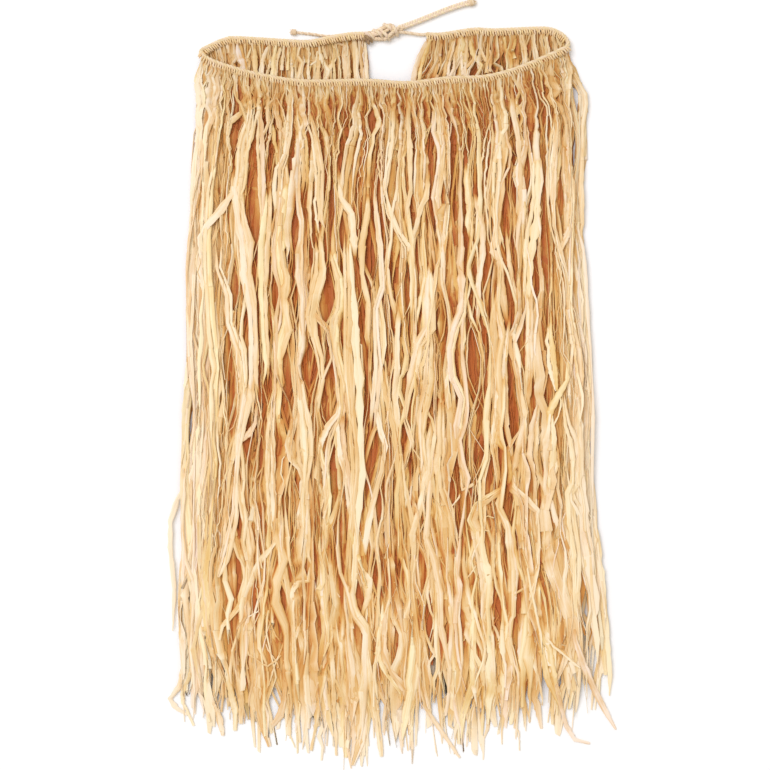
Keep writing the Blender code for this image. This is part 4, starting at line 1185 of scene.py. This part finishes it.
def placed_parts(panel, points_px, rings):
    """A placed ribbon's parts, side by side. Each: x, y, width, lift, distance, widest and top.

    A broad ribbon is split lengthwise. It leads in from under its neighbours, and unless its tip
    is free, it ends under them too.
    """
    rng = panel.rng
    px, py, seen_width = np.array(points_px, float).T
    middle = np.stack(seen_at(px, py), axis=1)
    way = np.gradient(middle, axis=0)
    way /= np.linalg.norm(way, axis=1, keepdims=True)
    aside = np.stack([-way[:, 1], way[:, 0]], axis=1)
    splits = (5.5, 8.5, 13.0) if py[0] < 165 else (7.5, 14.0)
    shares = rng.uniform(0.5, 1.5, 1 + sum(seen_width.max() > split for split in splits))
    shares /= shares.sum()
    top = rng.uniform(0.84, 1.06)
    covered = 0.0 if seen_width[-1] <= FREE_TIP_PX else 1.0
    parts = []
    for share, beside in zip(shares, np.cumsum(shares) - shares / 2 - 0.5):
        width = seen_width[:, None] * METRES_PER_PX
        points = middle + aside * width * (beside + rng.normal(0, 0.03, width.shape))
        over, under = rng.uniform(0.020, 0.060, 2) * (1.0, covered)
        (x0, y0), (x1, _) = points[:2]
        row_y = panel.on_cord(panel.across(x0, y0))[1] - ROW_DROP - 0.002
        over = min(over * (1.0 if seen_width.max() > FINE_PX else 0.25), max(row_y - y0, 0.002))
        lead = points[0] + (rng.normal(0, 0.07) * over + 0.5 * (x0 - x1), over)
        trail = points[-1] + (rng.normal(0, 0.004), -under)
        points = np.vstack([lead, points, trail][: 3 if under else 2])
        width = np.concatenate([[0.3 * width[0, 0]], width[:, 0], [0.3 * width[-1, 0]]])[: len(points)]
        along = distances(points)
        even = np.linspace(0, along[-1], rings - len(along) + 2)[1:-1]
        at = np.sort(np.concatenate([along, even]))
        lift = ease(0, over, at) * (ease(0, under, at[-1] - at) if under else 1.0)
        x, y = (np.interp(at, along, points[:, k]) for k in (0, 1))
        wide = np.interp(at, along, width) * share * 1.10
        parts.append([x, y, wide, lift, at, np.full(rings, wide.max()), np.full(rings, top)])
    return parts


def placed_ribbons(panel, layer, table, rings):
    """Ribbons laid at their own places on the pile, in one batch for each section."""
    rng = panel.rng
    rows = [part for points_px in table for part in placed_parts(panel, points_px, rings)]
    x, y, width, lift, along, widest, top = np.array(rows).transpose(1, 0, 2)
    count = len(x)
    u = panel.across(x, y)
    drop = panel.on_cord(u)[..., 1] - y
    rank = 0.30 + (top + rng.normal(0, 0.02, (count, 1)) - 0.30) * lift
    z = layer(u, np.maximum(drop, 0.006), y, rank)
    ragged = wander(rng, count, along, ((0.05, 0.10), (0.021, 0.08))) + rng.normal(0, 0.09, x.shape)
    half = width / 2 * (1 + np.clip(ragged, -0.4, 0.4))
    kinks_at = uneven_nodes(rng, count, *KINKS_AT)
    limp = np.clip(3.5 * MM / widest, 0.25, 1.0)
    slack = spacing_share(along) * limp
    kinks = rows_at(along, kinks_at, bends(rng, kinks_at, 0.75 * MM, 0.3)) * limp
    x = x + kinks + rng.normal(0, 0.25 * MM, x.shape) * slack
    roll = wander(rng, count, along, ((0.11, 0.16), (0.04, 0.12))) + rng.normal(0, 0.12, x.shape) * slack
    z = z + np.abs(rng.normal(0, 0.30 * MM, x.shape)) * slack
    tone = PLACED_TONE + rng.normal(0, 0.07, (count, 1))
    tone = tone + wander(rng, count, along, ((0.12, 0.05), (0.04, 0.03)))
    # Painted light: paler at the sides.
    tone = tone + SIDE_LIGHT_TONE * ease(0.185, 0.230, np.abs(x))
    seeds = rng.uniform(0, SEED_RANGE, (count, 1, 1))
    # Painted shade just below the cord.
    dimness = 0.75 * np.exp(-drop / 0.050)
    paths = np.stack([x, y, clear_of_surface(z, half, roll)], axis=-1)
    open_at = np.full(x.shape, 0.93)
    batches = []
    for section, mine in by_section(widest[:, 0]):
        at = along[mine]
        offsets = ribbon_section(rng, section, at, half[mine], open_at[mine])
        tones = tone[mine][..., None] + facets(rng, at, len(section)) - edge_shade(section)
        sizes = (u[mine, 0], widest[mine, 0], at[:, -1])
        look = (seeds[mine], tones, dimness[mine])
        batches.append(laid_ribbons(paths[mine], offsets, roll[mine], at, *look, *sizes))
    return batches


# ---- painted shade by depth, and the fringe's pieces


def heights_about(batches):
    """A blurred map of how high the raffia stands, as its corner and its cells."""
    spots = []
    for made in batches:
        corners = made["corners"]
        fine = np.linspace(0, 1, 5)[:-1, None, None]
        between = corners[:, :-1, None] * (1 - fine) + corners[:, 1:, None] * fine
        spots.append(between[..., ::2, :].reshape(-1, 3))
    spots = np.concatenate(spots)
    spots = spots[np.argsort(spots[:, 2])]
    corner = spots[:, :2].min(axis=0) - MARGIN * CELL
    cells = ((spots[:, :2] - corner) / CELL).astype(int)
    height = np.zeros(cells.max(axis=0) + MARGIN)
    height[cells[:, 0], cells[:, 1]] = spots[:, 2]
    means = ((np.mean, 0, 4), (np.mean, 1, 7), (np.mean, 0, 3), (np.mean, 1, 5))
    for blend, axis, reach in ((np.max, 0, 4), (np.max, 1, 7), *means):
        height = blend([np.roll(height, step, axis) for step in range(-reach, reach + 1)], axis=0)
    return corner, height


def front_shading(x, y, along):
    """How deep a colour the front's lowest raffia gets as painted shade, the depth where it does, and a
    first step's share.
    """
    x = np.abs(x)
    middle = ease(0.235, 0.180, x) * ease(-0.42, -0.24, y)
    inner = ease(0.225, 0.150, x) * ease(-0.36, 0.02, y) * ease(0.43, 0.33, y)
    side = ease(0.18, 0.215, x) * ease(0.240, 0.222, x) * ease(0.10, 0.30, y)
    hemward = ease(-0.14, -0.24, y) * ease(-0.41, -0.35, y)
    strength = 0.05 + 0.54 * middle + 0.20 * inner + 0.18 * side + 0.17 * hemward
    deep = (2.9 + 2.9 * ease(-0.30, 0.0, y)) * MM
    deep = deep * (0.72 + 0.28 * ease(0.008, 0.060, along))
    return strength, deep, 0.02 + 0.08 * middle


def back_shading(x, y, along):
    """The same for a back panel."""
    return 0.14 + 0.56 * ease(-0.33, -0.05, y), 4.5 * MM, 0.05


def paint_depth_shade(panel, batches):
    """Painted shade: raffia that lies deep among its neighbours gets a deeper colour, above all in mid
    panel.
    """
    shading = front_shading if panel.name == "front" else back_shading
    corner, height = heights_about(batches)
    for made in batches:
        corners = made["corners"]
        cells = ((corners[..., :2] - corner) / CELL).astype(int)
        depth = height[cells[..., 0], cells[..., 1]] - corners[..., 2]
        strength, deep, first = shading(corners[..., 0], corners[..., 1], made["along"])
        shade = first * ease(0.3 * MM, 1.4 * MM, depth) + strength * ease(0.3 * MM, deep, depth)
        made["tone"] = made["tone"] - shade


SHAPE_KEYS = ("corners", "across", "along", "seed", "tone", "dimness")


def build_fringe(panel, batches, hanks, material):
    """The panel's strands, joined into one piece for each CAD hank that they stand for."""
    for k in range(hanks):
        bunch, widths, area, longest = Bunch(), 0.0, 0.0, 0.0
        for made in batches:
            mine = np.minimum((made["u"] * hanks).astype(int), hanks - 1) == k
            if not mine.any():
                continue
            bunch.add(*(made[key][mine] for key in SHAPE_KEYS))
            widths += float(made["width"][mine].sum())
            area += float(made["area"][mine].sum())
            longest = max(longest, float(made["reach"][mine].max()))
        piece = bunch.build(f"{panel.name}_raffia_{k + 1:02d}", material, FOLD_ANGLE)
        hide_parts(f"{panel.name}_hank_{k + 1:02d}")


# ---- cord, row and ties


def add_tubes(bunch, paths, radii, sides, rng, tone, flat=1.0):
    """Round or oval strands along paths of shape (strands, rings, 3)."""
    radii = np.broadcast_to(radii, paths.shape[:2])
    turn = 2 * math.pi * np.arange(sides) / sides
    ring = np.stack([np.cos(turn), flat * np.sin(turn)], axis=-1)
    along = np.cumsum(np.linalg.norm(np.gradient(paths, axis=1), axis=2), axis=1)
    across = radii[..., None] * np.linspace(-math.pi, math.pi, sides, endpoint=False)
    tones = tone + rng.normal(0, 0.06, len(paths))[:, None, None]
    seeds = rng.uniform(0, SEED_RANGE, len(paths))[:, None, None]
    bunch.add(sweep(paths, radii[..., None, None] * ring), across, along[..., None], seeds, tones)


def finished(bunch, name, node, material):
    """The bunch as a piece that stands for a CAD node."""
    piece = bunch.build(name, material, ROUND_ANGLE)
    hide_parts(node)
    return piece


def twisted(route, plies, radius, pitch):
    """Paths of plies laid round each other along a route."""
    turns = distances(route) / pitch
    side, up = sideways_and_up(route[None])
    paths = []
    for k in range(plies):
        turn = (2 * math.pi * (turns + k / plies))[:, None]
        paths.append(route + radius * (np.cos(turn) * side[0] + np.sin(turn) * up[0]))
    return np.stack(paths)


def plaited(route, width, height, pitch):
    """Paths of a flat three-strand plait along a route."""
    turns = distances(route) / pitch
    side, up = sideways_and_up(route[None])
    paths = []
    for k in range(3):
        turn = (2 * math.pi * (turns + k / 3))[:, None]
        paths.append(route + width * np.sin(turn) * side[0] + height * np.sin(2 * turn) * up[0])
    return np.stack(paths)


def waist_cord(material, rng):
    bunch = Bunch()
    paths = twisted(smooth_route(WAIST_ROUTE, 0.0016), 3, 1.32 * MM, 13 * MM)
    add_tubes(bunch, paths, 1.52 * MM, 10, rng, CORD_TONE)
    finished(bunch, "waist_cord_twist", "waist_cord", material)


def run(bunch, rng, tone, lay_radius, radius, pitch, points):
    """Three plies laid round each other along the points."""
    add_tubes(bunch, twisted(smooth_route(points, 0.0009), 3, lay_radius, pitch), radius, 8, rng, tone)


def knot_and_spans(material, rng):
    """Where the two ties cross over the opening, and the short runs that come to it."""
    knot, left, right = Bunch(), Bunch(), Bunch()
    for bunch, runs in ((knot, KNOT_TURNS), (left, LEFT_SPAN), (right, RIGHT_SPAN)):
        if bunch is right:
            for points in SHADED_PLY_ENDS:
                run(left, rng, *SHADED_PLY_MAKE, points)
        for make in runs:
            run(bunch, rng, *make)
    for points in KNOT_WRAPS:
        run(knot, np.random.default_rng(SEED + 4), *WRAP_MAKE, points)
    for name, bunch in (("knot", knot), ("left_span", left), ("right_span", right)):
        finished(bunch, f"tie_{name}_twist", f"tie_{name}", material)


def tie_tip(bunch, end, towards, size, rng):
    """A tie's end tied in a small knot: turns round it, and the trimmed strands past them."""
    end = np.array((end[0], end[1], max(end[2], 1.16 * size)))
    towards = towards / np.linalg.norm(towards)
    side = np.array((-towards[1], towards[0], 0.0))
    up = np.array((0.0, 0.0, 1.0))
    turn = np.linspace(0, 2.15 * math.pi, 26)[:, None]
    for k in range(3):
        middle = end + towards * (0.55 * size * (k - 1))
        slope = 0.5 * size * (turn / math.pi - 1) * (0.35 + 0.15 * k)
        ring = middle + slope * towards
        ring = ring + 0.80 * size * np.cos(turn) * side + 0.72 * size * np.sin(turn) * up
        add_tubes(bunch, ring[None], 0.40 * size, 8, rng, TURN_TONE)
    count = 7
    spread = rng.normal(0, 0.32, (count, 1))
    long = size * rng.uniform(1.0, 2.0, (count, 1, 1))
    at = np.linspace(0, 1, 6)[None, :, None]
    ways = towards * np.cos(spread) + side * np.sin(spread) + up * rng.uniform(-0.15, 0.15, (count, 1))
    radii = 0.20 * size * (1 - 0.55 * at[..., 0])
    add_tubes(bunch, end + ways[:, None] * at * long, radii, 6, rng, THIN_TONE)


def tie_ends(material, rng):
    """The two ties' free ends and their knots."""
    for name, points, diameter, size in (
        ("plaited", PLAITED_END, 0.008, 0.0038),
        ("thin", THIN_END, 0.004, 0.0030),
    ):
        cord, tip = Bunch(), Bunch()
        route = smooth_route(points, 0.0008)
        if name == "plaited":
            paths = plaited(route, 2.0 * MM, 1.0 * MM, 10 * MM)
            add_tubes(cord, paths, 1.45 * MM, 10, rng, PLAIT_TONE, 0.80)
        else:
            add_tubes(cord, twisted(route, 2, 0.85 * MM, 8 * MM), 1.05 * MM, 8, rng, THIN_TONE)
        tie_tip(tip, route[-1], route[-1] - route[-8], size, rng)
        piece = finished(cord, f"tie_{name}_cord", f"tie_{name}_end", material)
        tip_piece = finished(tip, f"tie_{name}_knot", f"tie_{name}_tip", material)


def twined_row(panel, material, rng):
    """The strand bundles' heads, drawn tight over and under the cord."""
    bunch = Bunch()
    heads = round(panel.length / LOOP_SPACING)
    u = (np.arange(heads) + 0.5 + rng.normal(0, 0.07, heads)) / heads
    middle, down = panel.on_cord(u), panel.towards(panel.down, u)
    slant = np.stack([-down[:, 1], down[:, 0]], axis=1)
    rows = []
    for drop, lift, shift, _ in HEAD_PROFILE:
        shifts = (shift + rng.normal(0, 0.18 * MM, heads))[:, None]
        drops = (drop + rng.normal(0, 0.15 * MM, heads))[:, None]
        flat = middle[:, :2] + down * drops + slant * shifts
        rows.append(np.concatenate([flat, (middle[:, 2] + lift)[:, None]], axis=1))
    radii = np.array([row[3] for row in HEAD_PROFILE]) * rng.uniform(0.88, 1.14, (heads, 1))
    add_tubes(bunch, np.stack(rows, axis=1), radii, 8, rng, ROW_TONE)
    finished(bunch, f"{panel.name}_twining", f"{panel.name}_row", material)


# ---- stage


def stage():
    """A plain pale floor."""
    mesh = bpy.data.meshes.new("floor")
    corners = [(6.0 * x, 6.0 * y, 0) for x, y in ((-1, -1), (1, -1), (1, 1), (-1, 1))]
    mesh.from_pydata(corners, [], [(0, 1, 2, 3)])
    floor = linked("floor", mesh)
    material = bpy.data.materials.new("pale_surface")
    material.use_nodes = True
    look = {"Base Color": (0.93, 0.93, 0.93, 1), "Roughness": 0.9, "Specular IOR Level": 0.1}
    fill(material.node_tree.nodes["Principled BSDF"], look)
    mesh.materials.append(material)


def lights():
    """A soft studio key from the upper left, and a warm world that fills the shadows."""
    world = bpy.data.worlds.new("studio")
    world.use_nodes = True
    fill(world.node_tree.nodes["Background"], {"Color": (1.0, 0.945, 0.87, 1), "Strength": 0.68})
    bpy.context.scene.world = world
    key = bpy.data.lights.new("key", "AREA")
    key.shape, key.size, key.energy, key.color = "DISK", 6.4, 482, (0.875, 0.910, 1.0)
    obj = linked("key", key)
    obj.location = (-2.9, 2.4, 7.4)
    aim = Vector((0, -0.1, 0))
    obj.rotation_euler = (aim - obj.location).to_track_quat("-Z", "Y").to_euler()
    bpy.context.scene.view_settings.view_transform = "Standard"


def camera():
    """The photo's frame, from straight above."""
    data = bpy.data.cameras.new("camera")
    obj = linked("camera", data)
    obj.location = (*seen_at(FRAME_PX / 2, FRAME_PX / 2), CAMERA_HEIGHT)
    data.sensor_width = SENSOR
    data.lens = SENSOR * (CAMERA_HEIGHT - SEEN_HEIGHT) / (FRAME_PX * METRES_PER_PX)
    bpy.context.scene.camera = obj


# ---- the skirt


# How the front's fringe is made, and each back panel's. In order: how high its strands lie, the width
# that its clumps are spread over, the clumps, a loose ribbon's rings, the bed's rings, spacing, width
# and reach, a placed ribbon's rings, the hanks, and the slot.
FRONT_MAKE = (front_layer, 0.48, FRONT_CLUMPS, 80, (30, 0.0072, 0.015, 0.775), 36, 12, "front_raffia")
BACK_MAKE = (back_layer, 0.22, BACK_CLUMPS, 54, (30, 0.0066, 0.014, 0.805), 26, 5, "back_raffia")


def hang_fringe(panel, table, make, rng, material):
    """All of a panel's ribbons, shaded and joined into its pieces."""
    layer, width, clump_rows, rings, bed, placed_rings, hanks, slot = make
    clumps = [Clumps(rng, width, spacing, pull) for spacing, pull in clump_rows]
    batches = [
        *Fringe(panel, clumps, layer, rings, PER_BUNDLE).batches(),
        bed_ribbons(panel, layer, *bed),
        *placed_ribbons(panel, layer, table, placed_rings),
    ]
    paint_depth_shade(panel, batches)
    build_fringe(panel, batches, hanks, material)


def main():
    camera()
    lights()
    stage()
    rng = np.random.default_rng(SEED)
    raffia_material = raffia("raffia", RAFFIA_TONES, streak=0.34, grain=0.28, bump=0.6)
    plait_material = raffia("plaited_raffia", PLAIT_TONES, streak=0.40, grain=0.30, bump=0.8)
    # The fifth value is a panel's dimness all over: the back panels are duller and greyer.
    front = Panel("front", FRONT_SPAN, FRONT_EDGES, FRONT_HEM, FRONT_SLITS, 0.0, SEED + 1)
    left = Panel("back_left", BACK_LEFT_SPAN, BACK_LEFT_EDGES, BACK_HEM, BACK_LEFT_SLITS, 0.22, SEED + 2)
    right = Panel(
        "back_right", BACK_RIGHT_SPAN, BACK_RIGHT_EDGES, BACK_HEM, BACK_RIGHT_SLITS, 0.36, SEED + 3
    )
    waist_cord(plait_material, rng)
    knot_and_spans(plait_material, rng)
    tie_ends(plait_material, rng)
    for panel in (front, left, right):
        twined_row(panel, raffia_material, rng)
    hang_fringe(front, FRONT_RIBBONS, FRONT_MAKE, rng, raffia_material)
    hang_fringe(left, BACK_LEFT_RIBBONS, BACK_MAKE, rng, raffia_material)
    hang_fringe(right, BACK_RIGHT_RIBBONS, BACK_MAKE, rng, raffia_material)


main()
